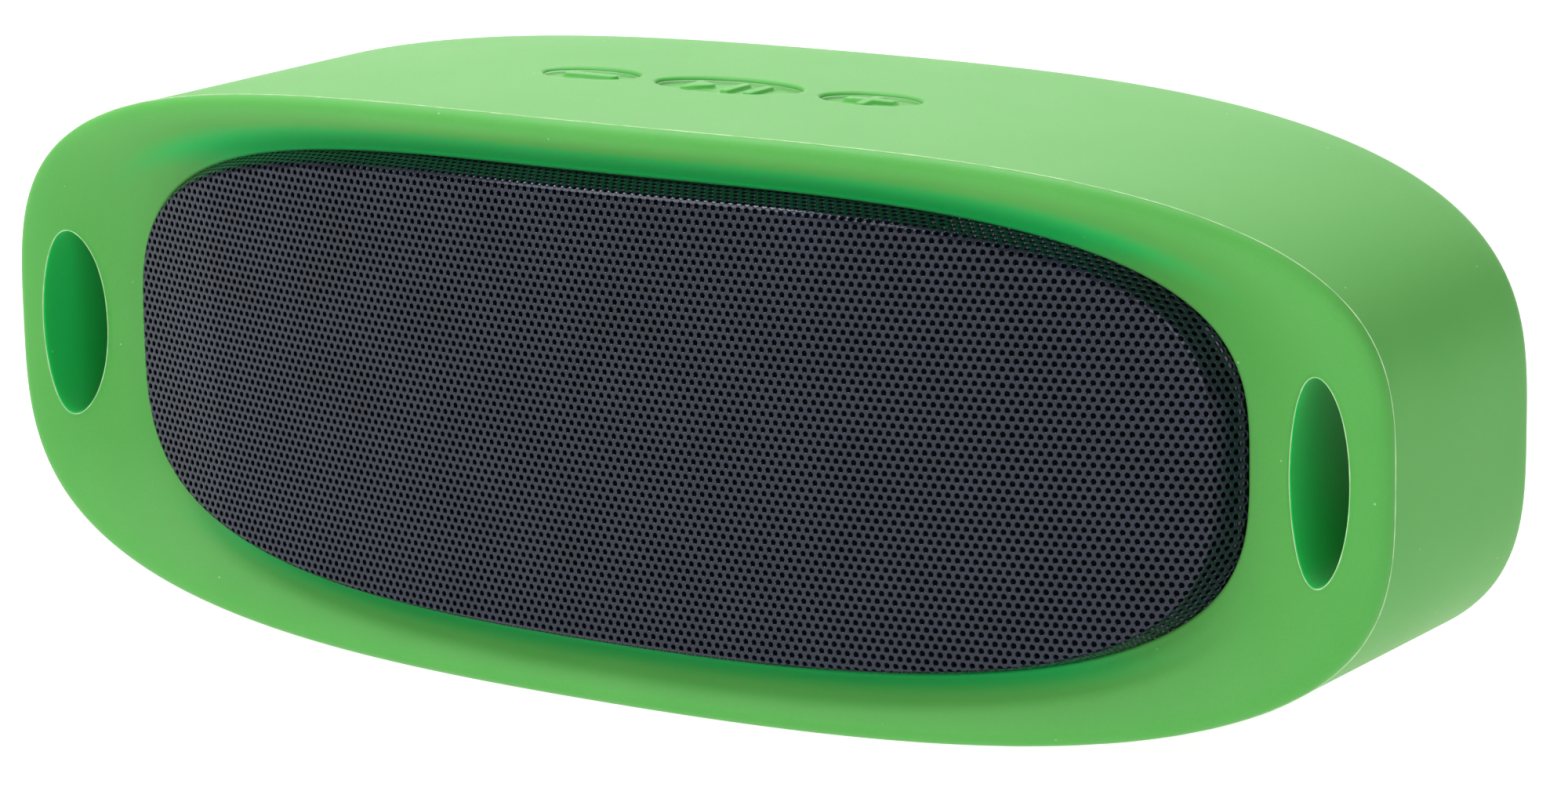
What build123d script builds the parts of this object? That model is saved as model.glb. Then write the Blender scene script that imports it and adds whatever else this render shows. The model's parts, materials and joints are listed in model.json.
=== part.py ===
from build123d import *
import os
from math import cos, hypot, pi, sin, sqrt

# A shower speaker: a silicone sleeve over a plastic case with a bowed metal grille.
# Millimetres. X is to the right, -Y is the front, Z is up.
# The origin is the middle of the sleeve's flat underside.

# ---- overall ----
width, depth, height = 180.0, 57.0, 64.0
mid_z = height / 2
front_y, back_y = -depth / 2, depth / 2
rim_bow = 352.0            # plan radius of the sleeve's front and back

# ---- outlines: half width, half height, half of the flat top, top radius, corner radius ----
sleeve_oval = (90.0, 32.0, 30.0, 158.0, 21.5)
dish_oval = (87.5, 29.8, 28.0, 150.0, 19.5)
case_oval = (75.5, 29.5, 24.0, 128.0, 19.9)
hollow_oval = (73.5, 27.5, 24.0, 126.0, 17.9)
seal_outer_oval = (74.9, 28.9, 24.0, 127.4, 19.3)
seal_inner_oval = (74.1, 28.1, 24.0, 126.6, 18.5)
opening_oval = (72.6, 25.9, 22.0, 132.5, 17.7)
rear_opening_oval = (67.0, 22.5, 22.0, 130.0, 16.0)
grille_oval = (71.0, 25.0, 24.0, 122.0, 16.4)
grille_inner_oval = (70.4, 24.4, 24.0, 121.4, 15.8)
flange_oval = (74.6, 28.6, 24.0, 127.0, 19.0)
cloth_oval = (69.8, 24.1, 24.0, 121.0, 15.4)

# ---- sleeve ----
rim_round = 2.0
lip_bow = 262.0            # plan radius of the front lip and of the case's front edge
lip_front_y, lip_back_y = -24.6, -22.6
end_slope = 0.19           # how steeply the sunken face comes forward past the opening
rear_lip_y = 26.0
slot_x, slot_half_w, slot_half_h = 81.8, 4.0, 11.0

# ---- grille and cloth ----
sheet = 0.6
grille_front_y, grille_bow = -28.4, 237.0
grille_round = 0.9
cloth_gap, cloth_thick = 0.1, 0.3

# ---- case ----
wall = 2.0
case_front_y = lip_back_y + sheet
split_y = 5.0
baffle_front_y, baffle_back_y = -14.5, -12.5
step_front_y, step_back_y = -8.5, -6.5
step_x = 60.0
seal_half = 0.6
boss_x, boss_dz = 54.0, 14.0
boss_r, pilot_r, boss_end_y = 3.5, 1.0, 14.0

# ---- port pocket and its door ----
pocket_w, pocket_h, pocket_z = 47.0, 15.0, 39.0
pocket_floor_y, pocket_skin = 23.7, 2.0
door_gap, door_back_y = 0.3, 25.9

# ---- drivers ----
driver_x, driver_front_y = 36.0, -16.2
gasket = 0.5
flange_r, throat_r, flange_thick = 21.5, 17.4, 1.2
driver_screw_r = 19.7

# ---- boards ----
board_thick = 1.6
board_top_z, board_front_y, board_rear_y, board_half_w = 36.2, 5.6, 21.4, 45.0
key_board_z, key_board_half_w, key_board_half_y = 50.0, 29.0, 6.0
stand_x, stand_y = 26.0, -2.5
usb_x, jack_x, led_x = 4.0, -12.0, 14.0
jack_r, jack_len = 1.8, 12.0

# ---- battery ----
cell_r, cell_half_len, cell_y, cell_z = 9.1, 32.5, 13.0, 15.2

# ---- buttons ----
button_x = {"minus": -18.5, "play": 0.0, "plus": 18.5}
pad_size = {"minus": (12.3, 7.2), "play": (18.6, 9.0), "plus": (12.3, 7.2)}
pad_gap, pad_bottom_z, pad_top_z = 0.15, 62.1, 63.2
key_half_w, key_half_y, key_gap = 3.5, 2.0, 0.3
switch_half, switch_top_z = 3.0, 54.7

case_top_z = mid_z + case_oval[1]
hollow_top_z = mid_z + hollow_oval[1]


def arc(p, q, centre):
    # the short arc from p to q about centre
    radius = hypot(p[0] - centre[0], p[1] - centre[1])
    mx, mz = (p[0] + q[0]) / 2 - centre[0], (p[1] + q[1]) / 2 - centre[1]
    scale = radius / hypot(mx, mz)
    return ThreePointArc(p, (centre[0] + mx * scale, centre[1] + mz * scale), q)


def oval_face(size):
    # flat top and bottom, a slow arc, a tight corner and a straight side, all tangent
    a, b, flat, top_r, corner_r = size
    cz = b - top_r + sqrt((top_r - corner_r) ** 2 - (a - corner_r - flat) ** 2)
    corner = (a - corner_r, cz)
    top_c = (flat, b - top_r)
    reach = corner_r / (top_r - corner_r)
    join = (corner[0] + (corner[0] - top_c[0]) * reach, corner[1] + (corner[1] - top_c[1]) * reach)
    quarter = [((flat, b), join, top_c), (join, (a, cz), corner)]
    edges = []
    for sx, sz in ((1, 1), (-1, 1), (-1, -1), (1, -1)):
        for p, q, c in quarter:
            edges.append(arc(*((sx * v[0], sz * v[1]) for v in (p, q, c))))
    edges += [Line((-flat, s * b), (flat, s * b)) for s in (1, -1)]
    edges += [Line((s * a, -cz), (s * a, cz)) for s in (1, -1)]
    return make_face(edges)


def facing(y, x=0.0, z=mid_z):
    # a plane seen from the front, at depth y
    return Plane((x, y, z), x_dir=(1, 0, 0), z_dir=(0, -1, 0))


def slab(size, y0, y1):
    return extrude(facing(y1) * oval_face(size), amount=y1 - y0)


def behind(y, radius):
    # everything behind a bowed front surface
    return Pos(0, y + radius, mid_z) * Cylinder(radius, 2 * height)


def before(y, radius):
    # everything in front of a bowed back surface
    return Pos(0, y - radius, mid_z) * Cylinder(radius, 2 * height)


def box(x0, x1, y0, y1, z0, z1):
    return Pos((x0 + x1) / 2, (y0 + y1) / 2, (z0 + z1) / 2) * Box(x1 - x0, y1 - y0, z1 - z0)


def rod_y(radius, y0, y1, x=0.0, z=mid_z):
    return extrude(facing(y1, x, z) * Circle(radius), amount=y1 - y0)


def rod_z(radius, z0, z1, x=0.0, y=0.0):
    return Pos(x, y, (z0 + z1) / 2) * Cylinder(radius, z1 - z0)


def post(half_w, half_y, z0, z1, x):
    # an upright elliptical post
    return extrude(Plane((x, 0, z0)) * Ellipse(half_w, half_y), amount=z1 - z0)


def both_sides(shape):
    return shape + mirror(shape, Plane.YZ)


# ---- shell ----

def is_rim(edge):
    # an edge round the front or back face, not one running from front to back
    size = edge.bounding_box().size
    return size.X > 0.01 or size.Z > size.Y


def make_dish():
    # the sunken front face: bowed between the ends of the opening, then straight out to the rim
    end_x = opening_oval[0]
    end_y = lip_front_y + end_x ** 2 / (2 * lip_bow)
    rim_end_y = end_y - (width / 2 - end_x) * end_slope
    ahead = front_y - 3
    outline = Polyline((-end_x, end_y), (-width / 2, rim_end_y), (-width / 2, ahead),
                       (width / 2, ahead), (width / 2, rim_end_y), (end_x, end_y))
    bow = ThreePointArc((end_x, end_y), (0, lip_front_y), (-end_x, end_y))
    return extrude(make_face([*outline.edges(), bow]), amount=height) & slab(dish_oval, ahead, 0)


def make_sleeve():
    body = slab(sleeve_oval, front_y - 1, back_y + 1) & behind(front_y, rim_bow) & before(back_y, rim_bow)
    body = fillet([e for e in body.edges() if is_rim(e)], rim_round)
    body = body - make_dish() - slab(opening_oval, front_y - 2, 0)
    body = body - (slab(case_oval, front_y, back_y) & behind(lip_back_y, lip_bow) & before(rear_lip_y, rim_bow))
    body = body - slab(rear_opening_oval, 0, back_y + 2)
    for side in (-1, 1):
        hole = facing(back_y + 2, side * slot_x) * Ellipse(slot_half_w, slot_half_h)
        body = body - extrude(hole, amount=depth + 4)
    for name, x in button_x.items():
        w, h = pad_size[name]
        body = body - post(w / 2, h / 2, case_top_z - 1, height + 1, x)
    return body


def make_grille():
    shell = slab(grille_oval, front_y - 2, 0) & behind(grille_front_y, grille_bow)
    crease = shell.edges().filter_by(lambda e: e.center().Y < -18 and e.bounding_box().size.Z < 60)
    shell = fillet([e for e in crease if e.bounding_box().max.Y < -1], grille_round)
    shell = shell - behind(case_front_y, lip_bow)
    flange = slab(flange_oval, front_y, 0) & behind(lip_back_y, lip_bow)
    shell = shell + (flange - behind(case_front_y, lip_bow))
    bore = slab(grille_inner_oval, front_y - 2, 10) & behind(grille_front_y + sheet, grille_bow - sheet)
    return shell - bore


def make_cloth():
    y = grille_front_y + sheet + cloth_gap
    bow = grille_bow - sheet - cloth_gap
    skin = slab(cloth_oval, front_y, -5) & behind(y, bow)
    return skin - behind(y + cloth_thick, bow - cloth_thick)


def seal_ring(grow=0.0):
    outer = tuple(v + grow for v in seal_outer_oval[:2]) + seal_outer_oval[2:]
    y0, y1 = split_y - seal_half - grow, split_y + seal_half + grow
    return slab(outer, y0, y1) - slab(seal_inner_oval, y0 - 1, y1 + 1)


def boss_places():
    return [(sx * boss_x, mid_z + sz * boss_dz) for sx in (-1, 1) for sz in (-1, 1)]


def make_front_case():
    shell = slab(case_oval, front_y, split_y) & behind(case_front_y, lip_bow)
    shell = shell - slab(hollow_oval, front_y - 1, split_y + 1)
    inside = slab(hollow_oval, baffle_front_y, step_back_y)
    web = inside & box(-step_x, step_x, baffle_front_y, baffle_back_y, 0, height)
    sides = box(step_x - wall, step_x, baffle_front_y, step_back_y, 0, height)
    sides = sides + box(step_x - wall, width, step_front_y, step_back_y, 0, height)
    shell = shell + web + (inside & both_sides(sides))
    for x, z in boss_places():
        shell = shell + rod_y(boss_r, baffle_back_y, boss_end_y, x, z)
    for x, z in boss_places():
        shell = shell - rod_y(pilot_r, boss_end_y - 8, boss_end_y + 1, x, z)
    for side in (-1, 1):
        shell = shell - rod_y(throat_r + 0.3, baffle_front_y - 1, baffle_back_y + 1, side * driver_x)
        for dx, dz in driver_screw_places():
            shell = shell - rod_y(0.7, baffle_front_y - 1, baffle_back_y + 1, side * driver_x + dx, mid_z + dz)
        stand = rod_z(2.0, key_board_z + board_thick, hollow_top_z + 0.5, side * stand_x, stand_y)
        pilot = rod_z(0.7, key_board_z, key_board_z + board_thick + 4.5, side * stand_x, stand_y)
        shell = shell + stand - pilot
    for x in button_x.values():
        shell = shell - post(key_half_w + key_gap, key_half_y + key_gap, hollow_top_z - 1, height, x)
    return shell - seal_ring()


def make_rear_case():
    shell = slab(case_oval, split_y, back_y) & before(rear_lip_y, rim_bow)
    shell = shell - (slab(hollow_oval, 0, back_y) & before(rear_lip_y - wall, rim_bow - wall))
    pocket_x, half_h = pocket_w / 2, pocket_h / 2
    tub = box(-pocket_x - wall, pocket_x + wall, pocket_floor_y - pocket_skin, 25,
              pocket_z - half_h - wall, pocket_z + half_h + wall)
    shell = shell + (tub & before(rear_lip_y, rim_bow))
    shell = shell - box(-pocket_x, pocket_x, pocket_floor_y, 30, pocket_z - half_h, pocket_z + half_h)
    for x, z in boss_places():
        post_y = rod_y(boss_r, boss_end_y, 24, x, z) & before(rear_lip_y - 0.5, rim_bow)
        shell = shell + post_y - rod_y(1.4, boss_end_y - 1, 20, x, z) - rod_y(2.8, 18.6, 30, x, z)
    shelf = box(38, 44, 9, 23, board_top_z - board_thick - 3, board_top_z - board_thick)
    shelf = shelf & before(rear_lip_y - 1, rim_bow)
    shelf = shelf - rod_z(0.7, board_top_z - 5, board_top_z, 41, 12)
    shell = shell + both_sides(shelf)
    floor_y0, floor_y1 = pocket_floor_y - pocket_skin - 1, pocket_floor_y + 1
    shell = shell - rod_y(2.9, floor_y0, floor_y1, jack_x, board_top_z + 2.5)
    shell = shell - box(usb_x - 4.1, usb_x + 4.1, floor_y0, floor_y1, board_top_z - 0.3, board_top_z + 3.1)
    shell = shell - rod_y(1.0, floor_y0, floor_y1, led_x, board_top_z + 1.0)
    return shell - seal_ring()


def make_case_screws():
    screws = []
    for x, z in boss_places():
        screw = rod_y(2.5, 18.6, 20.4, x, z) + rod_y(1.0, 7, 19, x, z)
        screws.append(screw - box(x - 0.4, x + 0.4, 19.6, 21, z - 1.5, z + 1.5)
                      - box(x - 1.5, x + 1.5, 19.6, 21, z - 0.4, z + 0.4))
    return Compound(children=screws)


def make_door():
    half_w, half_h = pocket_w / 2 - door_gap, pocket_h / 2 - door_gap
    y0 = pocket_floor_y + door_gap
    flap = box(-half_w, half_w, y0, 28, pocket_z - half_h, pocket_z + half_h) & before(door_back_y, rim_bow)
    upright = [e for e in flap.edges() if e.bounding_box().size.X < 0.1 and e.bounding_box().size.Z < 0.1]
    flap = fillet(upright, 2.0)
    notch = rod_y(3.0, 25.0, 28, 0, pocket_z - half_h)
    return flap - notch


# ---- drivers: profiles give radius, then distance behind the mounting flange's front ----

def turned(side, *points):
    axis_x = side * driver_x
    profile = Plane((axis_x, driver_front_y, mid_z), x_dir=(1, 0, 0), z_dir=(0, 0, 1)) * make_face(
        Polyline(*points, points[0]))
    return revolve(profile, Axis((axis_x, 0, mid_z), (0, 1, 0)))


def make_basket(side):
    frame = turned(side, (16.6, 0), (flange_r, 0), (flange_r, flange_thick), (throat_r, flange_thick),
                   (throat_r, 6.4), (13.4, 6.4), (13.4, 10.4), (7.3, 10.4), (7.3, 9.6), (12.6, 9.6),
                   (12.6, 5.6), (16.6, 5.6))
    x = side * driver_x
    for k in range(4):
        window = Rot(0, 45 + 90 * k, 0) * box(11, 20, driver_front_y + 2.0, driver_front_y + 4.2, -5, 5)
        frame = frame - Pos(x, 0, mid_z) * window
        dx, dz = driver_screw_r * cos(k * pi / 2 + pi / 4), driver_screw_r * sin(k * pi / 2 + pi / 4)
        frame = frame - rod_y(0.9, driver_front_y - 1, driver_front_y + 2, x + dx, mid_z + dz)
    return frame


def make_top_plate(side):
    return turned(side, (7.1, 10.4), (11.5, 10.4), (11.5, 12.4), (7.1, 12.4))


def make_magnet(side):
    return turned(side, (8.0, 12.4), (13.5, 12.4), (13.5, 17.4), (8.0, 17.4))


def make_yoke(side):
    return turned(side, (0, 10.4), (5.9, 10.4), (5.9, 17.4), (12.5, 17.4), (12.5, 19.4), (0, 19.4))


def make_surround(side):
    # a half roll of rubber between the cone's edge and the flange
    x = side * driver_x
    ring = Plane((x, driver_front_y, mid_z), x_dir=(1, 0, 0), z_dir=(0, 0, 1))
    roll = Pos(15.75, 0.75) * Circle(0.85) - Pos(15.75, 0.75) * Circle(0.5) - Pos(15.75, 1.75) * Rectangle(4, 2)
    return revolve(ring * roll, Axis((x, 0, mid_z), (0, 1, 0)))


def make_spider(side):
    # three pleats of doped cloth, resting on the basket's shelf
    crests = [(6.8 + 1.1 * k, 5.2 if k % 2 else 4.8) for k in range(6)] + [(13.8, 5.3)]
    back = [(r, s + 0.3) for r, s in reversed(crests)]
    return turned(side, *crests, (13.8, 5.6), *back[1:])


def make_cone(side):
    return turned(side, (6.4, 3.0), (14.4, 0.8), (14.6, 0.8), (14.6, 1.2), (6.8, 3.5), (6.4, 3.5))


def make_dust_cap(side):
    x = side * driver_x
    sphere_r, crown = 9.0, 2.9
    centre_y = driver_front_y + 3.0 - sqrt(sphere_r ** 2 - 6.4 ** 2) + 2 * sqrt(sphere_r ** 2 - 6.4 ** 2)
    dome = Pos(x, centre_y, mid_z) * (Sphere(sphere_r) - Sphere(sphere_r - 0.3))
    return dome & rod_y(6.4, centre_y - sphere_r - crown, driver_front_y + 3.0, x)


def make_voice_coil(side):
    return turned(side, (6.2, 3.5), (6.4, 3.5), (6.4, 9.9), (6.75, 9.9), (6.75, 12.9), (6.4, 12.9),
                  (6.4, 13.4), (6.2, 13.4))


def make_gaskets():
    y1 = driver_front_y + flange_thick
    rings = []
    for side in (-1, 1):
        x = side * driver_x
        ring = rod_y(flange_r - 0.2, y1, y1 + gasket, x) - rod_y(throat_r + 0.3, y1 - 1, y1 + 1, x)
        for dx, dz in driver_screw_places():
            ring = ring - rod_y(0.9, y1 - 1, y1 + 1, x + dx, mid_z + dz)
        rings.append(ring)
    return Compound(children=rings)


def driver_screw_places():
    r = driver_screw_r * sin(pi / 4)
    return [(sx * r, sz * r) for sx in (-1, 1) for sz in (-1, 1)]


def make_driver_screws():
    screws = []
    for side in (-1, 1):
        for dx, dz in driver_screw_places():
            x, z = side * driver_x + dx, mid_z + dz
            head = rod_y(1.5, driver_front_y - 0.8, driver_front_y, x, z)
            screws.append(head + rod_y(0.7, driver_front_y, driver_front_y + 3.0, x, z))
    return Compound(children=screws)


# ---- electronics ----

def make_main_board():
    z0 = board_top_z - board_thick
    board = box(-board_half_w, board_half_w, board_front_y, board_rear_y, z0, board_top_z)
    corner_cut = box(38, 60, 19.4, 23, z0 - 1, board_top_z + 1)
    board = board - both_sides(corner_cut)
    return board - both_sides(rod_z(0.9, z0 - 1, board_top_z + 1, 41, 12))


def make_board_components():
    z = board_top_z
    parts = [rod_z(2.5, z, z + 6, x, 10) for x in (-24, -18)]
    parts += [box(x, x + 5, 14, 19, z, z + 3) for x in (-36, -29.5)]
    parts += [box(x, x + 4, 8, 12, z, z + 1) for x in (4, 12)]
    return Compound(children=parts)


def make_bluetooth_module():
    return box(20, 34, 7, 18, board_top_z, board_top_z + 2.2)


def make_amplifier():
    return box(-36, -29, 6.5, 12.5, board_top_z, board_top_z + 1.0)


def make_wire_sockets():
    z = board_top_z
    return Compound(children=[box(x, x + 6, 12.8, 16.8, z, z + 3.2) for x in (-24, -7, 9)])


def make_usb_socket():
    y1 = pocket_floor_y - 0.2
    body = box(usb_x - 3.8, usb_x + 3.8, y1 - 5.2, y1, board_top_z, board_top_z + 2.8)
    return body - box(usb_x - 3.4, usb_x + 3.4, y1 - 4.6, y1 + 1, board_top_z + 0.5, board_top_z + 2.3)


def make_audio_jack():
    y1 = pocket_floor_y - 0.2
    z = board_top_z + 2.5
    body = box(jack_x - 3, jack_x + 3, 9.4, 21.4, board_top_z, board_top_z + 5)
    body = body + rod_y(2.5, 21.4, y1, jack_x, z)
    return body - rod_y(jack_r, y1 - jack_len, y1 + 1, jack_x, z)


def make_led():
    y1 = pocket_floor_y - 0.4
    return box(led_x - 1, led_x + 1, 18, 20.4, board_top_z, board_top_z + 2) + rod_y(
        0.8, 20.4, y1, led_x, board_top_z + 1.0)


def make_cell():
    along = Rot(0, 90, 0)
    can = Cylinder(cell_r, 2 * cell_half_len)
    return Pos(0, cell_y, cell_z) * along * (can + Pos(0, 0, cell_half_len + 0.5) * Cylinder(3, 1))


def make_cradle():
    saddle = box(-24, 24, 7, 20, mid_z - hollow_oval[1], 11)
    bed = Pos(0, cell_y, cell_z) * Rot(0, 90, 0) * Cylinder(cell_r, 80)
    slots = [box(x, x + 6, 0, 30, 7, 12) for x in (-15, -3, 9)]
    saddle = saddle - bed
    for slot in slots:
        saddle = saddle - slot
    return saddle


def make_key_board():
    board = box(-key_board_half_w, key_board_half_w, -key_board_half_y, key_board_half_y,
                key_board_z, key_board_z + board_thick)
    return board - both_sides(rod_z(0.9, key_board_z - 1, key_board_z + 3, stand_x, stand_y))


def make_board_screws():
    screws = []
    for side in (-1, 1):
        x = side * 41
        screws.append(rod_z(1.6, board_top_z, board_top_z + 1, x, 12) + rod_z(0.7, board_top_z - 4, board_top_z, x, 12))
        x, z = side * stand_x, key_board_z
        screws.append(rod_z(1.6, z - 1, z, x, stand_y) + rod_z(0.7, z, z + 5, x, stand_y))
    return Compound(children=screws)


def make_switches():
    z0 = key_board_z + board_thick
    bodies = []
    for x in button_x.values():
        body = box(x - switch_half, x + switch_half, -switch_half, switch_half, z0, switch_top_z)
        bodies.append(body - rod_z(1.8, switch_top_z - 1.2, switch_top_z + 1, x, 0))
    return Compound(children=bodies)


# ---- buttons ----

def make_pad(name):
    w, h = pad_size[name]
    return post(w / 2 - pad_gap, h / 2 - pad_gap, pad_bottom_z, pad_top_z, button_x[name])


def make_key(name):
    x = button_x[name]
    stop = post(key_half_w + 1.3, key_half_y + 1.3, hollow_top_z - 1.5, hollow_top_z - 0.3, x)
    return post(key_half_w, key_half_y, switch_top_z + 1.2, pad_bottom_z, x) + stop


def make_stem(name):
    return rod_z(1.5, switch_top_z - 0.7, switch_top_z + 1.2, button_x[name])


parts = {
    "silicone_sleeve": make_sleeve(),
    "front_case": make_front_case(),
    "rear_case": make_rear_case(),
    "case_seal": seal_ring(),
    "case_screws": make_case_screws(),
    "grille": make_grille(),
    "dust_cloth": make_cloth(),
    "driver_gaskets": make_gaskets(),
    "driver_screws": make_driver_screws(),
    "main_board": make_main_board(),
    "board_components": make_board_components(),
    "bluetooth_module": make_bluetooth_module(),
    "amplifier_chip": make_amplifier(),
    "wire_sockets": make_wire_sockets(),
    "usb_socket": make_usb_socket(),
    "audio_jack": make_audio_jack(),
    "status_led": make_led(),
    "battery_cell": make_cell(),
    "battery_cradle": make_cradle(),
    "key_board": make_key_board(),
    "board_screws": make_board_screws(),
    "key_switches": make_switches(),
    "port_door": make_door(),
}
for hand, side in (("left", -1), ("right", 1)):
    parts[hand + "_basket"] = make_basket(side)
    parts[hand + "_top_plate"] = make_top_plate(side)
    parts[hand + "_magnet"] = make_magnet(side)
    parts[hand + "_yoke"] = make_yoke(side)
    parts[hand + "_surround"] = make_surround(side)
    parts[hand + "_spider"] = make_spider(side)
    parts[hand + "_cone"] = make_cone(side)
    parts[hand + "_dust_cap"] = make_dust_cap(side)
    parts[hand + "_voice_coil"] = make_voice_coil(side)
for name in button_x:
    parts[name + "_pad"] = make_pad(name)
    parts[name + "_key"] = make_key(name)
    parts[name + "_stem"] = make_stem(name)

os.makedirs("parts", exist_ok=True)
for name, shape in parts.items():
    export_step(shape, os.path.join("parts", name + ".step"))
print(len(parts), "parts written")
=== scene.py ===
import json
from bisect import bisect_left
from math import atan, ceil, cos, exp, hypot, pi, radians, sin, sqrt

import bmesh
import bpy
from mathutils import Euler, Matrix, Vector
from mathutils.geometry import delaunay_2d_cdt
from mathutils.kdtree import KDTree


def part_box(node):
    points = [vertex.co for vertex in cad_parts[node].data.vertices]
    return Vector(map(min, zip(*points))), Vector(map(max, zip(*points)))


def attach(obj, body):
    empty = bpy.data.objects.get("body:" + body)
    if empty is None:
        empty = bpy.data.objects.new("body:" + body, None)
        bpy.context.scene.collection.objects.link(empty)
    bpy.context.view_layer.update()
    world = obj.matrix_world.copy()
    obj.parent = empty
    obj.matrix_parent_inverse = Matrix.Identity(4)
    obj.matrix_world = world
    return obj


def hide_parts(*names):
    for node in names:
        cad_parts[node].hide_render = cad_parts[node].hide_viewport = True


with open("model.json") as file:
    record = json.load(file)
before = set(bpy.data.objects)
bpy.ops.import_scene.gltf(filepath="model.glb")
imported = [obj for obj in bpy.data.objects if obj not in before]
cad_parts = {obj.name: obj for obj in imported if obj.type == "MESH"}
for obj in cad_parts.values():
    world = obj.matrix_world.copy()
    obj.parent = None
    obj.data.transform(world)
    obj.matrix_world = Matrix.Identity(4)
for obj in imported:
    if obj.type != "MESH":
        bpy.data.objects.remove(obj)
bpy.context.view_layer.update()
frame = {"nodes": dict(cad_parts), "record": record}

mm = 0.001               # sizes below are in millimetres, heights are from the middle of the speaker
scene = bpy.context.scene
nodes = frame["nodes"]


def nodeBox(name):       # a CAD node's corners in millimetres
    return tuple(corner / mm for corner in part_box(name))


sleeveLow, sleeveHigh = nodeBox("silicone_sleeve")
midZ = (sleeveLow.z + sleeveHigh.z) / 2

# node trees and meshes: shared helpers


def hexToLinear(code):
    channels = [int(code[i:i + 2], 16) / 255 for i in (1, 3, 5)]
    return tuple(c / 12.92 if c <= 0.04045 else ((c + 0.055) / 1.055) ** 2.4 for c in channels) + (1.0,)


def addNode(tree, kind, inputs=None, **settings):    # one node with its settings, values and links
    node = tree.nodes.new(kind)
    for name, value in settings.items():
        setattr(node, name, value)
    for socket, value in (inputs or {}).items():
        if isinstance(value, bpy.types.NodeSocket):
            tree.links.new(value, node.inputs[socket])
        else:
            node.inputs[socket].default_value = value
    return node


sums, vectors = "ShaderNodeMath", "ShaderNodeVectorMath"


def addSteps(tree, values, steps):
    # a formula in steps: each has a name, a node, an operation, and numbers, sockets or earlier names
    for name, kind, operation, *inputs in steps:
        sockets = inputs[0] if isinstance(inputs[0], dict) else dict(enumerate(inputs))
        sockets = {key: values[item] if isinstance(item, str) else item for key, item in sockets.items()}
        values[name] = addNode(tree, kind, sockets, operation=operation).outputs[0]
    return values


def setSockets(shader, values):
    for socket, value in values.items():
        shader.inputs[socket].default_value = value


def newMesh():
    return {"points": [], "faces": []}


def addRows(mesh, rows, closedRows=True, joinEnds=False):   # quads between loops of equal length
    start = len(mesh["points"])
    count = len(rows[0])
    for row in rows:
        mesh["points"] += row
    pairs = [(k, k + 1) for k in range(len(rows) - 1)]
    if joinEnds:
        pairs.append((len(rows) - 1, 0))
    for a, b in pairs:
        for i in range(count if closedRows else count - 1):
            j = (i + 1) % count
            mesh["faces"].append((start + a * count + i, start + a * count + j,
                                  start + b * count + j, start + b * count + i))


def addCap(mesh, loop):
    start = len(mesh["points"])
    mesh["points"] += loop
    mesh["faces"].append(tuple(range(start, start + len(loop))))


def addSheet(mesh, loops, loose, inside, place):
    # triangles through flat loops and loose points; each loop is (points, lift)
    flat, lifts, edges = [], [], []
    for loop, lift in loops:
        start = len(flat)
        flat += [Vector(p) for p in loop]
        lifts += [lift] * len(loop)
        edges += [(start + i, start + (i + 1) % len(loop)) for i in range(len(loop))]
    flat += [Vector(p) for p in loose]
    lifts += [0.0] * len(loose)
    points, _, triangles, origins, _, _ = delaunay_2d_cdt(flat, edges, [], 0, 1e-6)
    start = len(mesh["points"])
    for point, origin in zip(points, origins):
        lift = max((lifts[i] for i in origin), key=abs) if origin else 0.0
        mesh["points"].append(place(point.x, point.y, lift))
    for tri in triangles:
        middle = sum((points[i] for i in tri), Vector((0, 0))) / 3
        if inside(middle.x, middle.y):
            mesh["faces"].append(tuple(start + i for i in tri))


def finishMesh(name, mesh, material, smooth=True, weld=0.002):
    data = bpy.data.meshes.new(name)
    data.from_pydata([tuple(c * mm for c in p) for p in mesh["points"]], [], mesh["faces"])
    work = bmesh.new()
    work.from_mesh(data)
    bmesh.ops.remove_doubles(work, verts=work.verts, dist=weld * mm)
    bmesh.ops.dissolve_degenerate(work, edges=work.edges, dist=weld * mm * 0.5)
    bmesh.ops.delete(work, geom=[v for v in work.verts if not v.link_faces], context="VERTS")
    bmesh.ops.recalc_face_normals(work, faces=work.faces)
    for face in work.faces:
        face.smooth = smooth
    work.to_mesh(data)
    work.free()
    piece = bpy.data.objects.new(name, data)
    scene.collection.objects.link(piece)
    if material:
        data.materials.append(material)
    return piece


def register(piece, body, slot, *replaced):
    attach(piece, body)
    if replaced:
        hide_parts(*replaced)


# outlines

def ovalRatio(size, x, z):     # 1 on the oval, less inside
    return (abs(x / size[0]) ** size[2] + abs(z / size[1]) ** size[3]) ** (1 / size[2])


def ovalLoop(size, count):     # evenly spaced round a superellipse, anticlockwise from +X
    steps = count // 4
    fineSteps = 3000
    fine = [(size[0] * cos(a) ** (2 / size[2]), size[1] * sin(a) ** (2 / size[3]))
            for a in (pi / 2 * i / fineSteps for i in range(fineSteps))] + [(0.0, size[1])]
    run = [0.0]
    for p, q in zip(fine, fine[1:]):
        run.append(run[-1] + hypot(q[0] - p[0], q[1] - p[1]))
    quarter, k = [], 0
    for i in range(steps + 1):
        want = run[-1] * i / steps
        while k < len(run) - 2 and run[k + 1] < want:
            k += 1
        f = (want - run[k]) / (run[k + 1] - run[k])
        quarter.append((fine[k][0] + (fine[k + 1][0] - fine[k][0]) * f,
                        fine[k][1] + (fine[k + 1][1] - fine[k][1]) * f))
    turns = [quarter, [(-x, z) for x, z in reversed(quarter)],
             [(-x, -z) for x, z in quarter], [(x, -z) for x, z in reversed(quarter)]]
    return [p for turn in turns for p in turn[:-1]]


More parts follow.
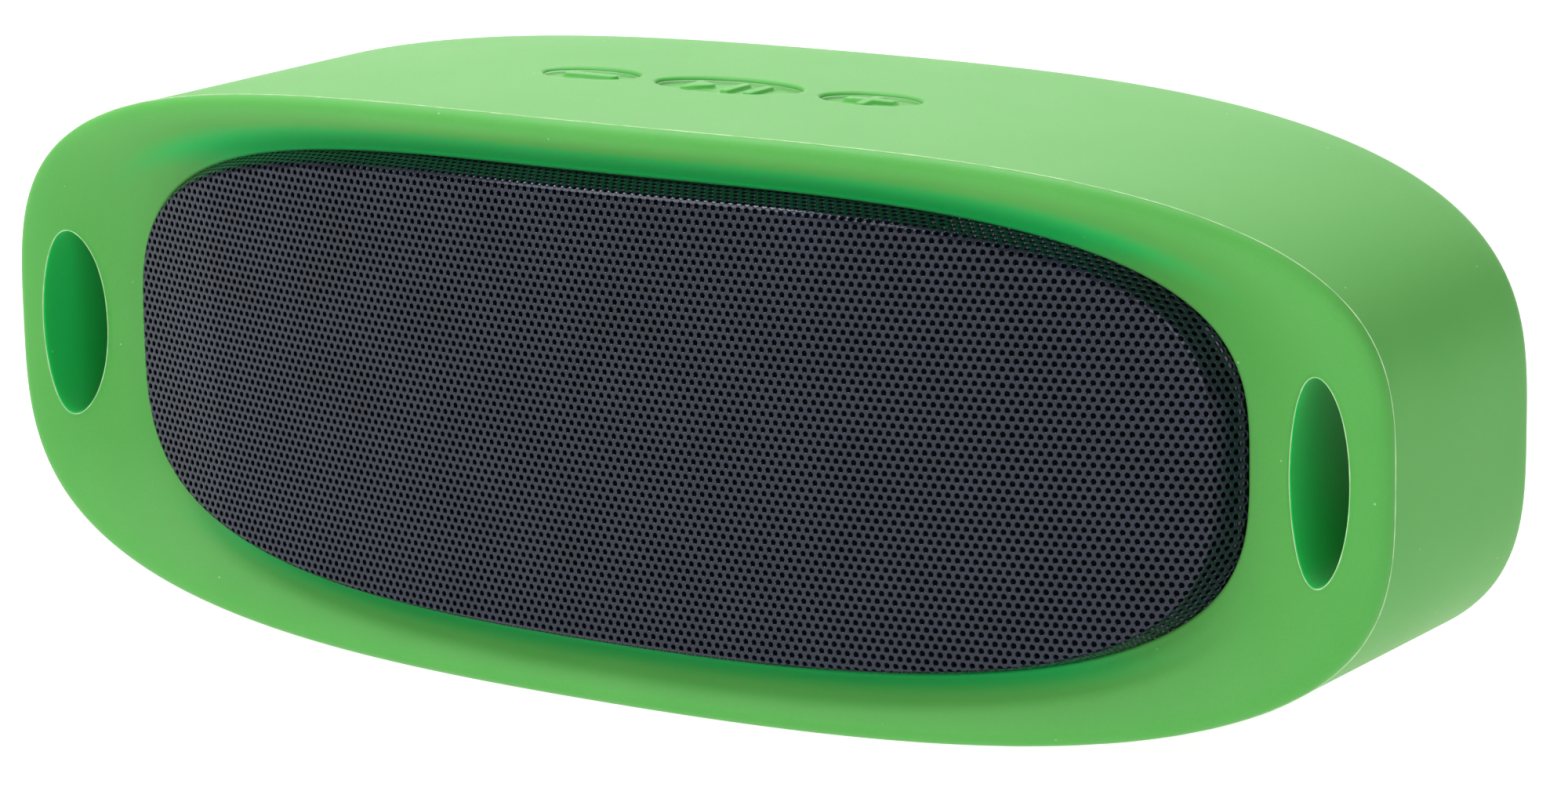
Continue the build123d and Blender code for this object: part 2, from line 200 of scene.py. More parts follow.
def outwards(loop):            # the outward direction at each point of an anticlockwise loop
    normals = []
    for p, q in zip(loop[-1:] + loop[:-1], loop[1:] + loop[:1]):
        length = hypot(q[0] - p[0], q[1] - p[1])
        normals.append(((q[1] - p[1]) / length, (p[0] - q[0]) / length))
    return normals


def grown(size, by):
    return (size[0] + by, size[1] + by, size[2], size[3])


def ellipse(x, y, halfX, halfY, count):
    angles = [2 * pi * i / count for i in range(count)]
    return [(x + halfX * cos(a), y + halfY * sin(a)) for a in angles]


def between(p, q, f):
    return tuple(a + (b - a) * f for a, b in zip(p, q))


def rounding(d, r):            # how far a rounded edge has dropped, d from the hole's side
    return r - sqrt(max(r * r - (r - d) ** 2, 0.0)) if d < r else 0.0


# materials

def startMaterial(name):
    material = bpy.data.materials.new(name)
    material.use_nodes = True
    tree = material.node_tree
    tree.nodes.clear()
    shader = addNode(tree, "ShaderNodeBsdfPrincipled")
    addNode(tree, "ShaderNodeOutputMaterial", {"Surface": shader.outputs[0]})
    where = addNode(tree, "ShaderNodeTexCoord").outputs["Object"]
    return material, tree, shader, where


def grain(tree, where, sizeMm, detail=2.0, rough=0.5):   # noise whose blobs are about sizeMm across
    return addNode(tree, "ShaderNodeTexNoise", {"Vector": where, "Scale": 1 / (sizeMm * mm),
                                                "Detail": detail, "Roughness": rough}).outputs["Fac"]


def tint(tree, fac, dark, light):      # two colours of one finish, by a pattern
    ramp = addNode(tree, "ShaderNodeValToRGB", {"Fac": fac})
    ramp.color_ramp.elements[0].position, ramp.color_ramp.elements[1].position = 0.3, 0.7
    ramp.color_ramp.elements[0].color = hexToLinear(dark)
    ramp.color_ramp.elements[1].color = hexToLinear(light)
    return ramp.outputs["Color"]


def spread(tree, fac, low, high):
    return addNode(tree, "ShaderNodeMapRange", {"Value": fac, "From Min": 0.3, "From Max": 0.7,
                                                "To Min": low, "To Max": high}).outputs["Result"]


def relief(tree, shader, height, depthMm, strength=1.0):
    bump = addNode(tree, "ShaderNodeBump", {"Height": height, "Distance": depthMm * mm, "Strength": strength})
    tree.links.new(bump.outputs["Normal"], shader.inputs["Normal"])


sleeve = {
    "columns": 384,
    "outer": (sleeveHigh.x - 0.1, sleeveHigh.z - midZ - 0.1, 3.40, 3.28),
    "opening": (72.6, 25.9, 3.19, 3.18),
    "rimInset": 1.5, "rimY": sleeveLow.y + 0.06, "rimBow": 352.0,
    "lipY": sleeveLow.y + 3.9, "lipBow": 262.0, "lipRound": 0.5, "lipThick": 2.0,
    "dishCurve": 0.6,
    "flashWide": 0.26, "flashSpread": 0.22,
    "backInset": 2.6, "backY": sleeveHigh.y, "backRound": 0.8,
    "rearOpening": (67.2, 22.7, 3.4, 3.3), "rearLipThick": 2.5,
    "cavity": (75.5, 29.5, 3.35, 3.3),
    "slotX": 81.8, "slotHalf": (4.0, 11.0), "slotColumns": 80, "slotFlash": 0.2,
}
paintedShadeReach = {           # where the painted shade, a purer green, starts and is full: depths in mm, the rest shares of an oval
    "frontFrom": -28.0, "frontFull": -26.6, "backFrom": -16.0, "backFull": -20.0,
    "ovalFrom": 1.32, "ovalFull": 1.0, "upperExtra": 0.22, "slotFrom": 1.04, "slotFull": 0.98,
}
buttons = {
    "minus": {"half": (6.15, 3.6)},
    "play": {"half": (9.3, 4.5)},
    "plus": {"half": (6.15, 3.6)},
}


def paintedShadeMask(tree, where):     # 1 where shade is painted: in the sunken band round the opening and inside the strap slots
    x, y, z = addNode(tree, "ShaderNodeSeparateXYZ", {0: where}).outputs
    halfX, halfZ, power = sleeve["opening"][:3]
    slotX, slotZ = sleeve["slotHalf"]
    edge = paintedShadeReach
    heights = {"Value": z, "From Min": midZ * mm, "From Max": (midZ + halfZ) * mm, "To Max": edge["upperExtra"]}
    high = addNode(tree, "ShaderNodeMapRange", heights).outputs["Result"]
    values = addSteps(tree, {"high": high}, [
        ("side", sums, "ABSOLUTE", x),
        ("rise", sums, "SUBTRACT", z, midZ * mm),
        ("up", sums, "ABSOLUTE", "rise"),
        ("shareX", sums, "DIVIDE", "side", halfX * mm),
        ("shareZ", sums, "DIVIDE", "up", halfZ * mm),
        ("powerX", sums, "POWER", "shareX", power),
        ("powerZ", sums, "POWER", "shareZ", power),
        ("wholeOval", sums, "ADD", "powerX", "powerZ"),
        ("oval", sums, "SUBTRACT", "wholeOval", "high"),     # painted shade reaches further out on the upper dish, which the light from above leaves in shade
        ("fromSlot", sums, "SUBTRACT", "side", sleeve["slotX"] * mm),
        ("slotAcross", sums, "DIVIDE", "fromSlot", slotX * mm),
        ("slotUp", sums, "DIVIDE", "up", slotZ * mm),
        ("squareX", sums, "MULTIPLY", "slotAcross", "slotAcross"),
        ("squareZ", sums, "MULTIPLY", "slotUp", "slotUp"),
        ("slot", sums, "ADD", "squareX", "squareZ"),
    ])
    for name, value, start, full in (("front", y, edge["frontFrom"] * mm, edge["frontFull"] * mm),
                                     ("back", y, edge["backFrom"] * mm, edge["backFull"] * mm),
                                     ("nearOval", values["oval"], edge["ovalFrom"], edge["ovalFull"]),
                                     ("inSlot", values["slot"], edge["slotFrom"], edge["slotFull"])):
        ends = {"Value": value, "From Min": start, "From Max": full}
        ramp = addNode(tree, "ShaderNodeMapRange", ends, interpolation_type="SMOOTHERSTEP")
        values[name] = ramp.outputs["Result"]
    return addSteps(tree, values, [
        ("depths", sums, "MULTIPLY", "front", "back"),
        ("band", sums, "MULTIPLY", "nearOval", "depths"),
        ("recess", sums, "MAXIMUM", "band", "inSlot"),
    ])["recess"]


def mouldedSilicone():
    # liquid silicone from a spark-eroded mould: soft, cloudy green with a dry, floury sheen and caught dust,
    # and painted shade in its recesses
    # inner is the purer green painted into the recesses as painted shade
    look = {"deep": "#4DA244", "light": "#57A74C", "inner": "#12B856", "dust": "#BFE3B4",
            "cloudMm": 16, "grainMm": 0.22, "dustMm": 1.1, "grainShare": 0.45}
    material, tree, shader, where = startMaterial("mouldedSilicone")
    patterns = {"fine": grain(tree, where, look["grainMm"], 1.0),
                "clouds": grain(tree, where, look["cloudMm"])}
    speckle = addSteps(tree, patterns, [
        ("cloudPart", sums, "MULTIPLY", "clouds", 1 - look["grainShare"]),
        ("speckle", sums, "MULTIPLY_ADD", "fine", look["grainShare"], "cloudPart"),
    ])["speckle"]
    cloud = tint(tree, speckle, look["deep"], look["light"])
    dust = addNode(tree, "ShaderNodeTexVoronoi", {"Vector": where, "Scale": 1 / (look["dustMm"] * 4 * mm)},
                   feature="F1").outputs["Distance"]
    speck = addNode(tree, "ShaderNodeMapRange", {"Value": dust, "From Min": 0.02, "From Max": 0.035,
                                                 "To Min": 0.45, "To Max": 0.0}).outputs["Result"]
    mix = addNode(tree, "ShaderNodeMix", {"Factor": speck}, data_type="RGBA")
    # painted shade: in the sunken band and the strap slots a purer green is painted in, standing in for the
    # light bounced within and off the silicone there
    inner = addNode(tree, "ShaderNodeMix", {"Factor": paintedShadeMask(tree, where)}, data_type="RGBA")
    tree.links.new(cloud, inner.inputs["A"])
    inner.inputs["B"].default_value = hexToLinear(look["inner"])
    tree.links.new(inner.outputs["Result"], mix.inputs["A"])
    mix.inputs["B"].default_value = hexToLinear(look["dust"])
    tree.links.new(mix.outputs["Result"], shader.inputs["Base Color"])
    fine = grain(tree, where, look["grainMm"], 3.0, 0.7)
    tree.links.new(spread(tree, fine, 0.5, 0.62), shader.inputs["Roughness"])
    relief(tree, shader, fine, 0.02, 0.5)        # grain is drawn coarser than the mould's so that it shows
    setSockets(shader, {"IOR": 1.41, "Sheen Weight": 0.13, "Sheen Roughness": 0.4, "Subsurface Weight": 0.4,
                        "Sheen Tint": hexToLinear("#FFF6C8"), "Subsurface Radius": (0.3, 1.0, 0.35),
                        "Subsurface Scale": 4 * mm})
    return material


def powderCoatedSteel():
    # punched steel under thin charcoal paint: dark, bluish, glossy enough to catch light along a bend
    material, tree, shader, where = startMaterial("powderCoatedSteel")
    peel = grain(tree, where, 0.5, 3.0, 0.6)
    tree.links.new(tint(tree, grain(tree, where, 6.0), "#141A28", "#1B2232"), shader.inputs["Base Color"])
    tree.links.new(spread(tree, peel, 0.15, 0.23), shader.inputs["Roughness"])
    relief(tree, shader, peel, 0.01, 0.2)
    setSockets(shader, {"Metallic": 0.4, "Specular IOR Level": 0.68})
    return material


def wovenCloth(name, dark, light, threadMm, sheen):
    # plain-weave acoustic cloth: two crossed sets of threads, dull, with fuzz at grazing angles
    material, tree, shader, where = startMaterial(name)
    waveScale = 1 / (threadMm * mm * 6.3)        # about one wave in two threads
    waves = [addNode(tree, "ShaderNodeTexWave", {"Vector": where, "Scale": waveScale, "Distortion": 0.4},
                     bands_direction=axis).outputs["Fac"] for axis in ("X", "Z")]
    weave = addNode(tree, "ShaderNodeMath", {0: waves[0], 1: waves[1]}, operation="MULTIPLY").outputs[0]
    tree.links.new(tint(tree, weave, dark, light), shader.inputs["Base Color"])
    relief(tree, shader, weave, 0.06)
    setSockets(shader, {"Roughness": 0.9, "Sheen Weight": sheen})
    return material


def plainFinish(name, dark, light, blobMm, roughLow, roughHigh, metallic=0.0, depthMm=0.01, coat=0.0):
    # one recipe for the moulded, plated and printed finishes: two tints, uneven gloss and a little relief
    material, tree, shader, where = startMaterial(name)
    blobs = grain(tree, where, blobMm, 3.0, 0.6)
    tree.links.new(tint(tree, grain(tree, where, blobMm * 8), dark, light), shader.inputs["Base Color"])
    tree.links.new(spread(tree, blobs, roughLow, roughHigh), shader.inputs["Roughness"])
    relief(tree, shader, blobs, depthMm, 0.6)
    setSockets(shader, {"Metallic": metallic, "Coat Weight": coat})
    return material


def flashHighlightFinish():
    # flash: a pale line, partly silicone too thin to hold its colour and partly a painted highlight for the
    # light its thin edge catches
    material, tree, shader, where = startMaterial("flashPaintedHighlight")
    tree.links.new(tint(tree, grain(tree, where, 1.5), "#9CCB8C", "#C6E6B8"), shader.inputs["Base Color"])
    setSockets(shader, {"Roughness": 0.45, "IOR": 1.41})
    return material


silicone = mouldedSilicone()
flashHighlightPaint = flashHighlightFinish()
grillePaint = powderCoatedSteel()
finishes = {
    "silicone": silicone,
    "grille_paint": grillePaint,
    # black ABS with a fine moulded texture: an even, dry black
    "case_abs": plainFinish("texturedAbs", "#141416", "#1B1B1E", 0.25, 0.5, 0.65, depthMm=0.03),
    # smooth ABS: a slightly glossier black
    "key_abs": plainFinish("smoothAbs", "#1E1E21", "#262629", 0.6, 0.3, 0.4),
    # pressed rubber foam: dull black with open pores
    "seal_rubber": plainFinish("pressedRubber", "#101010", "#181818", 0.3, 0.75, 0.9, depthMm=0.04),
    "acoustic_cloth": wovenCloth("acousticCloth", "#050505", "#111112", 0.3, 0.1),
    # zinc-plated pressings: bright grey with a soft cloudy shine
    "zinc_steel": plainFinish("zincPlatedSteel", "#A9ACAE", "#C6C9CA", 0.8, 0.22, 0.36, 1.0),
    # black oxide screws: near-black metal with oily highlights
    "screw_steel": plainFinish("blackOxideSteel", "#2A2A2D", "#38383C", 0.4, 0.28, 0.42, 1.0),
    # sintered ferrite: dull charcoal, ground flat
    "ferrite": plainFinish("groundFerrite", "#303033", "#3E3E42", 0.3, 0.55, 0.7, 0.2, 0.02),
    # pressed paper pulp: matte black with fibres
    "cone_paper": plainFinish("pressedPaper", "#19191A", "#272728", 0.35, 0.8, 0.95, depthMm=0.05),
    "doped_cloth": wovenCloth("phenolicCloth", "#7A5218", "#B98A3E", 0.35, 0.05),
    # enamelled copper wire: warm metal under a clear coat
    "coil_copper": plainFinish("enamelledCopper", "#A85A30", "#C8743F", 0.2, 0.25, 0.35, 1.0, 0.02),
    # solder mask over glass fibre: glossy green with traces showing as relief
    "circuit_board": plainFinish("solderMask", "#0D3F22", "#13542E", 0.9, 0.22, 0.32, depthMm=0.02, coat=0.4),
    # moulded epoxy: flat black package plastic
    "chip_plastic": plainFinish("mouldedEpoxy", "#17171A", "#212125", 0.15, 0.55, 0.7, depthMm=0.02),
    # natural nylon: milky and smooth
    "nylon_white": plainFinish("naturalNylon", "#D8D2C2", "#E8E3D6", 0.7, 0.4, 0.5),
    # tin-plated steel: bright, slightly mottled
    "socket_steel": plainFinish("tinPlatedSteel", "#B9BABB", "#D4D5D5", 0.5, 0.2, 0.32, 1.0),
    # frosted lens: pale and soft
    "led_lens": plainFinish("frostedPolycarbonate", "#D9DCD6", "#ECEDE8", 0.5, 0.45, 0.6),
    # shrink wrap: glossy blue film
    "cell_wrap": plainFinish("shrinkWrap", "#1B4F93", "#2560AB", 1.2, 0.18, 0.3, coat=0.3),
}
for part in frame["record"]["subparts"]:
    meshData = nodes[part["node"]].data
    meshData.materials.clear()
    meshData.materials.append(finishes[part["material_slot"]])
print("materials ready:", len(finishes))

# silicone sleeve

recess = {"columns": 72, "round": 0.45}
wallSpan = 50.0          # width given to an unrolled wall
holeSlack = -0.01        # a triangle this far inside a hole's edge still counts as sheet
for name, button in buttons.items():
    low, high = nodeBox(name + "_pad")
    button["x"], button["top"], button["bottom"] = (low.x + high.x) / 2, high.z, low.z

crestOval = grown(sleeve["outer"], -sleeve["rimInset"])
lipOval = grown(sleeve["opening"], sleeve["lipRound"])
backOval = grown(sleeve["outer"], -sleeve["backInset"])
rearLipOval = grown(sleeve["rearOpening"], sleeve["backRound"])


def dishY(x, z):         # the sunken front face between the rim's crest and the lip
    near = ovalRatio(lipOval, x, z) - 1
    far = 1 - ovalRatio(crestOval, x, z)
    u = min(max(near / (near + far), 0.0), 1.0)
    h = u + sleeve["dishCurve"] * u * (1 - u) * (2 * u - 1)
    lip = sleeve["lipY"] + x * x / (2 * sleeve["lipBow"])
    rim = sleeve["rimY"] + x * x / (2 * sleeve["rimBow"])
    return lip + (rim - lip) * h


def backY(x):
    return sleeve["backY"] - x * x / (2 * sleeve["rimBow"])


def lift3(loop, y):      # a flat loop put at depth y, or at y(x, z)
    return [(x, y(x, z) if callable(y) else y, z + midZ) for x, z in loop]


def slotRing(side, d):
    return ellipse(side * sleeve["slotX"], 0, sleeve["slotHalf"][0] + d, sleeve["slotHalf"][1] + d,
                   sleeve["slotColumns"])


def nearSlot(x, z, margin):
    w, h = sleeve["slotHalf"]
    return hypot((abs(x) - sleeve["slotX"]) / (w + margin), z / (h + margin)) < 1


def faceSheet(mesh, outerLoop, innerSize, fractions, surface, ringLifts):
    # the front or back face: a sheet with the opening and the two strap slots cut in it
    innerLoop = ovalLoop(innerSize, len(outerLoop))
    loops = [(outerLoop, 0.0), (innerLoop, 0.0)]
    for side in (-1, 1):
        loops += [(slotRing(side, d), lift) for d, lift in ringLifts]
    reach = max(d for d, lift in ringLifts) + 0.7
    loose = [between(p, q, f) for f in fractions for p, q in zip(innerLoop, outerLoop)]
    loose = [p for p in loose if not nearSlot(*p, reach)]

    def inside(x, z):
        return ovalRatio(innerSize, x, z) > 1 and not nearSlot(x, z, holeSlack)
    addSheet(mesh, loops, loose, inside, lambda x, z, lift: (x, surface(x, z) + lift, z + midZ))


def wallSheet(mesh, loop, front, back, rowCount, ringLifts):
    # the wall round an outline, unrolled so that the button holes can be cut in it
    count = len(loop)
    start = count * 3 // 4
    ring = loop[start:] + loop[:start] + [loop[start]]
    run = [0.0]
    for p, q in zip(ring, ring[1:]):
        run.append(run[-1] + hypot(q[0] - p[0], q[1] - p[1]))
    half = run[-1] / 2
    columns = [half - length for length in run]

    def locate(u):       # the point of the outline at unrolled distance u, with its outward normal
        want = min(max(half - u, 0.0), run[-1])
        low, high = 0, len(run) - 1
        while high - low > 1:
            middle = (low + high) // 2
            low, high = (middle, high) if run[middle] <= want else (low, middle)
        f = (want - run[low]) / (run[high] - run[low])
        p, q = ring[low], ring[high]
        length = hypot(q[0] - p[0], q[1] - p[1])
        return between(p, q, f), ((q[1] - p[1]) / length, (p[0] - q[0]) / length)

    def unroll(u, y):    # depth becomes a share of the wall's width, so that the sheet is a rectangle
        x = locate(u)[0][0]
        return (u, wallSpan * (y - front(x)) / (back(x) - front(x)))

    def place(u, share, lift):
        (x, z), (nx, nz) = locate(u)
        y = front(x) + (back(x) - front(x)) * share / wallSpan
        return (x - nx * lift, y, z - nz * lift + midZ)

    holes = [(b["x"], b["half"]) for b in buttons.values()]
    reach = max(d for d, lift in ringLifts) + 0.5

    def nearHole(u, y, margin):
        return any(hypot((u - x) / (w + margin), y / (h + margin)) < 1 for x, (w, h) in holes)

    def inside(u, share):
        return not nearHole(u, place(u, share, 0)[1], holeSlack)

    rows = [[(u, wallSpan * k / rowCount) for u in columns] for k in range(rowCount + 1)]
    edge = rows[0] + [row[-1] for row in rows[1:]] + rows[-1][-2::-1] + [row[0] for row in rows[-2:0:-1]]
    loops = [(edge, 0.0)]
    for x, (w, h) in holes:
        loops += [([unroll(*p) for p in ellipse(x, 0, w + d, h + d, recess["columns"])], lift)
                  for d, lift in ringLifts]
    loose = [p for row in rows[1:-1] for p in row[1:-1] if not nearHole(p[0], place(*p, 0)[1], reach)]
    addSheet(mesh, loops, loose, inside, place)
    return [[place(*unroll(*p), ringLifts[0][1]) for p in ellipse(x, 0, w, h, recess["columns"])]
            for x, (w, h) in holes]


def makeSleeve():
    mesh = newMesh()
    count = sleeve["columns"]
    outer, crest = ovalLoop(sleeve["outer"], count), ovalLoop(crestOval, count)
    lip, opening = ovalLoop(lipOval, count), ovalLoop(sleeve["opening"], count)
    cavity = ovalLoop(sleeve["cavity"], count)

    # front face, with thin moulding flash standing up round the slots
    flash = sleeve["slotFlash"]
    frontRings = [(d, -flash * exp(-(d / sleeve["flashSpread"]) ** 2))
                  for d in (0, 0.1, 0.2, 0.34, 0.55, 0.9, 1.5, 2.3)]
    fractions = (0.05, 0.12, 0.2, 0.29, 0.38, 0.48, 0.58, 0.68, 0.77, 0.85, 0.92, 0.97)
    faceSheet(mesh, crest, lipOval, fractions, dishY, frontRings)

    # the rim rolls over from the dish to the side wall
    inset = sleeve["rimInset"]
    wallStart = []
    steps, probe = 10, 0.05       # the dish's slope is read over the last 0.05 mm
    roll = [[] for _ in range(steps + 1)]
    for (cx, cz), (ox, oz) in zip(crest, outer):
        here = dishY(cx, cz)
        gap = hypot(ox - cx, oz - cz)
        nx, nz = (ox - cx) / gap, (oz - cz) / gap
        slope = (here - dishY(cx - nx * probe, cz - nz * probe)) / probe
        tilt = -atan(slope)
        radius = inset / (1 + sin(tilt))
        for k in range(steps + 1):
            angle = -tilt + (pi / 2 + tilt) * k / steps
            out = radius * (sin(tilt) + sin(angle)) / inset
            roll[k].append((cx + (ox - cx) * out, here + radius * (cos(tilt) - cos(angle)),
                            cz + (oz - cz) * out + midZ))
        wallStart.append(here + radius * cos(tilt))
    wide = sleeve["flashWide"]
    roll.append([(x, y + wide, z + midZ) for (x, z), y in zip(outer, wallStart)])
    addRows(mesh, roll)

    # outer wall, from the flash to the back rim
    backInset = sleeve["backInset"]
    r = recess["round"]
    outerRings = [(d, rounding(d, r)) for d in (0, 0.03, 0.09, 0.18, 0.3, 0.45, 0.9, 1.6)]
    frontEdge = wallEdge(outer, wallStart, wide)
    outerHoles = wallSheet(mesh, outer, frontEdge, lambda x: backY(x) - backInset, 12, outerRings)

    # back rim, back face and rear lip
    rows = []
    for k in range(9):
        angle = pi / 2 * k / 8
        size = grown(sleeve["outer"], -backInset * (1 - cos(angle)))
        rows.append(lift3(ovalLoop(size, count), lambda x, z: backY(x) - backInset * (1 - sin(angle))))
    addRows(mesh, rows)
    rearRound = sleeve["backRound"]
    backRings = [(d, -rounding(d, rearRound)) for d in (0, 0.06, 0.16, 0.3, 0.5, 0.8, 1.1)]
    faceSheet(mesh, ovalLoop(backOval, count), rearLipOval, (0.08, 0.2, 0.35, 0.5, 0.65, 0.8, 0.92),
              lambda x, z: backY(x), backRings)
    rows = []
    for k in range(7):
        angle = pi / 2 * k / 6
        size = grown(sleeve["rearOpening"], rearRound * (1 - sin(angle)))
        rows.append(lift3(ovalLoop(size, count), lambda x, z: backY(x) - rearRound * (1 - cos(angle))))
    innerBack = lambda x, z=0: backY(x) - sleeve["rearLipThick"]
    rows.append(lift3(ovalLoop(sleeve["rearOpening"], count), innerBack))
    rows.append(lift3(cavity, innerBack))
    addRows(mesh, rows)

    # inner wall against the case, and the lip's own back
    innerFront = lambda x, z=0: sleeve["lipY"] + sleeve["lipThick"] + x * x / (2 * sleeve["lipBow"])
    innerHoles = wallSheet(mesh, cavity, innerFront, innerBack, 4, [(0, 0), (0.7, 0), (1.5, 0)])
    lipSurface = lambda x, z: sleeve["lipY"] + x * x / (2 * sleeve["lipBow"])
    ease, easeFrom = 0.35, 1.1    # the lip's back edge is eased off
    eased = ovalLoop(grown(sleeve["opening"], ease), count)
    rows = [lift3(cavity, innerFront), lift3(eased, innerFront),
            lift3(opening, lambda x, z: lipSurface(x, z) + easeFrom)]
    lipRound = sleeve["lipRound"]
    for k in range(7):
        angle = pi / 2 * k / 6
        size = grown(sleeve["opening"], lipRound * (1 - cos(angle)))
        rows.append(lift3(ovalLoop(size, count), lambda x, z: lipSurface(x, z) + lipRound * (1 - sin(angle))))
    rows[-1] = lift3(lip, dishY)
    addRows(mesh, rows)

    # button recesses and strap slots go right through
    for top, bottom in zip(outerHoles, innerHoles):
        addRows(mesh, [[between(p, q, k / 3) for p, q in zip(top, bottom)] for k in range(4)])
    for side in (-1, 1):
        addSlot(mesh, side, frontRings[0][1])
    return finishMesh("siliconeSleeve", mesh, silicone), [y + wide / 2 for y in wallStart]


def wallEdge(loop, starts, wide):   # the wall's front edge as a function of x
    table = sorted({round(abs(p[0]), 6): y + wide for p, y in zip(loop, starts)}.items())
    places = [x for x, y in table]

    def edge(x):
        k = min(max(bisect_left(places, abs(x)), 1), len(places) - 1)
        (x0, y0), (x1, y1) = table[k - 1], table[k]
        return y0 + (y1 - y0) * min(max((abs(x) - x0) / (x1 - x0), 0.0), 1.0)
    return edge


def addSlot(mesh, side, mouthLift):
    # the tunnel narrows a little behind each mouth
    front = [(x, dishY(x, z) + mouthLift, z) for x, z in slotRing(side, 0)]
    back = [(x, backY(x) - sleeve["backRound"], z) for x, z in slotRing(side, 0)]
    rows = [[(x, y, z + midZ) for x, y, z in front]]
    narrow, straight, waist, spans = -0.06, 1.3, 0.25, 12
    for d, depth in ((-0.1, 0.06), (-0.14, 0.3), (-0.1, 0.7), (narrow, straight)):
        ring = slotRing(side, d)
        rows.append([(x, front[i][1] + depth, z + midZ) for i, (x, z) in enumerate(ring)])
    for k in range(1, spans):
        f = k / spans
        ring = slotRing(side, narrow - waist * sin(pi * f))
        rows.append([(x, front[i][1] + straight + (back[i][1] - front[i][1] - straight) * f, z + midZ)
                     for i, (x, z) in enumerate(ring)])
    rows.append([(x, y, z + midZ) for x, y, z in back])
    addRows(mesh, rows)


flashLine = {"edgeSize": 0.095, "slotSize": 0.075, "sides": 6}


def makeFlashLine(name, loop, depths, size):
    # a hair of flash left at a mould joint, uneven along its length
    rows = []
    for k in range(flashLine["sides"]):
        angle = 2 * pi * k / flashLine["sides"]
        row = []
        for i, ((x, z), (nx, nz), y) in enumerate(zip(loop, outwards(loop), depths)):
            r = size * (0.8 + 0.2 * sin(i * 0.9) * sin(i * 0.37 + 1))
            row.append((x + nx * r * cos(angle), y + r * sin(angle), z + nz * r * cos(angle) + midZ))
        rows.append(row)
    mesh = newMesh()
    addRows(mesh, rows, joinEnds=True)
    # the flash is given the pale colour, a painted highlight along the mould joint
    return finishMesh(name, mesh, flashHighlightPaint)


sleevePiece, edgeDepths = makeSleeve()
register(sleevePiece, "housing", "silicone", "silicone_sleeve")
edgeLoop = ovalLoop(sleeve["outer"], sleeve["columns"])
edgeFlash = makeFlashLine("edgeFlash", edgeLoop, edgeDepths, flashLine["edgeSize"])
register(edgeFlash, "housing", "silicone", "silicone_sleeve")
for side, word in ((-1, "left"), (1, "right")):
    mouth = slotRing(side, 0.0)
    depths = [dishY(x, z) - sleeve["slotFlash"] for x, z in mouth]
    slotFlash = makeFlashLine(word + "SlotFlash", mouth, depths, flashLine["slotSize"])
    register(slotFlash, "housing", "silicone", "silicone_sleeve")
print("sleeve faces:", len(sleevePiece.data.polygons))

# button pads

def bar(x, y, halfX, halfY, corner):          # a round-ended bar, anticlockwise
    points = []
    for k, (sx, sy) in enumerate(((1, 1), (-1, 1), (-1, -1), (1, -1))):
        for i in range(5):
            a = pi / 2 * (k + i / 4)
            points.append((x + sx * (halfX - corner) + corner * cos(a),
                           y + sy * (halfY - corner) + corner * sin(a)))
    return points


def cross(x, y, reachX, reachY, half):
    corners = [(reachX, -half), (reachX, half), (half, half), (half, reachY),
               (-half, reachY), (-half, half), (-reachX, half), (-reachX, -half),
               (-half, -half), (-half, -reachY), (half, -reachY), (half, -half)]
    return [(x + px, y + py) for px, py in corners]


def arrow(x, y, halfX, halfY):
    corners = [(-halfX, -halfY), (halfX, 0), (-halfX, halfY)]
    points = []
    for (ax, ay), (bx, by) in zip(corners, corners[1:] + corners[:1]):
        points += [(x + ax + (bx - ax) * f, y + ay + (by - ay) * f) for f in (0.12, 0.5, 0.88)]
    return points


icon = {"height": 0.42, "soft": 0.2, "dome": 0.25}
pad = {"gap": 0.07, "curl": 0.35, "curlHeight": 0.3, "wallDepth": 0.4, "gridStep": 0.45, "gridEdge": 1.3}


def iconShapes(name, x):     # each shape as a function of how far its edge is pulled in
    if name == "minus":
        return [lambda d: bar(x, 0, 3.6 - d, 0.8 - d, 0.75 - d)]
    if name == "plus":
        return [lambda d: cross(x, 0, 3.2 - d, 2.5 - d, 0.7 - d)]
    return [lambda d: arrow(x - 3.4, 0, 2.0 - 1.5 * d, 2.5 - 1.5 * d),
            lambda d: bar(x + 0.9, 0, 0.7 - d, 2.5 - d, 0.5 - d),
            lambda d: bar(x + 3.9, 0, 0.7 - d, 2.5 - d, 0.5 - d)]


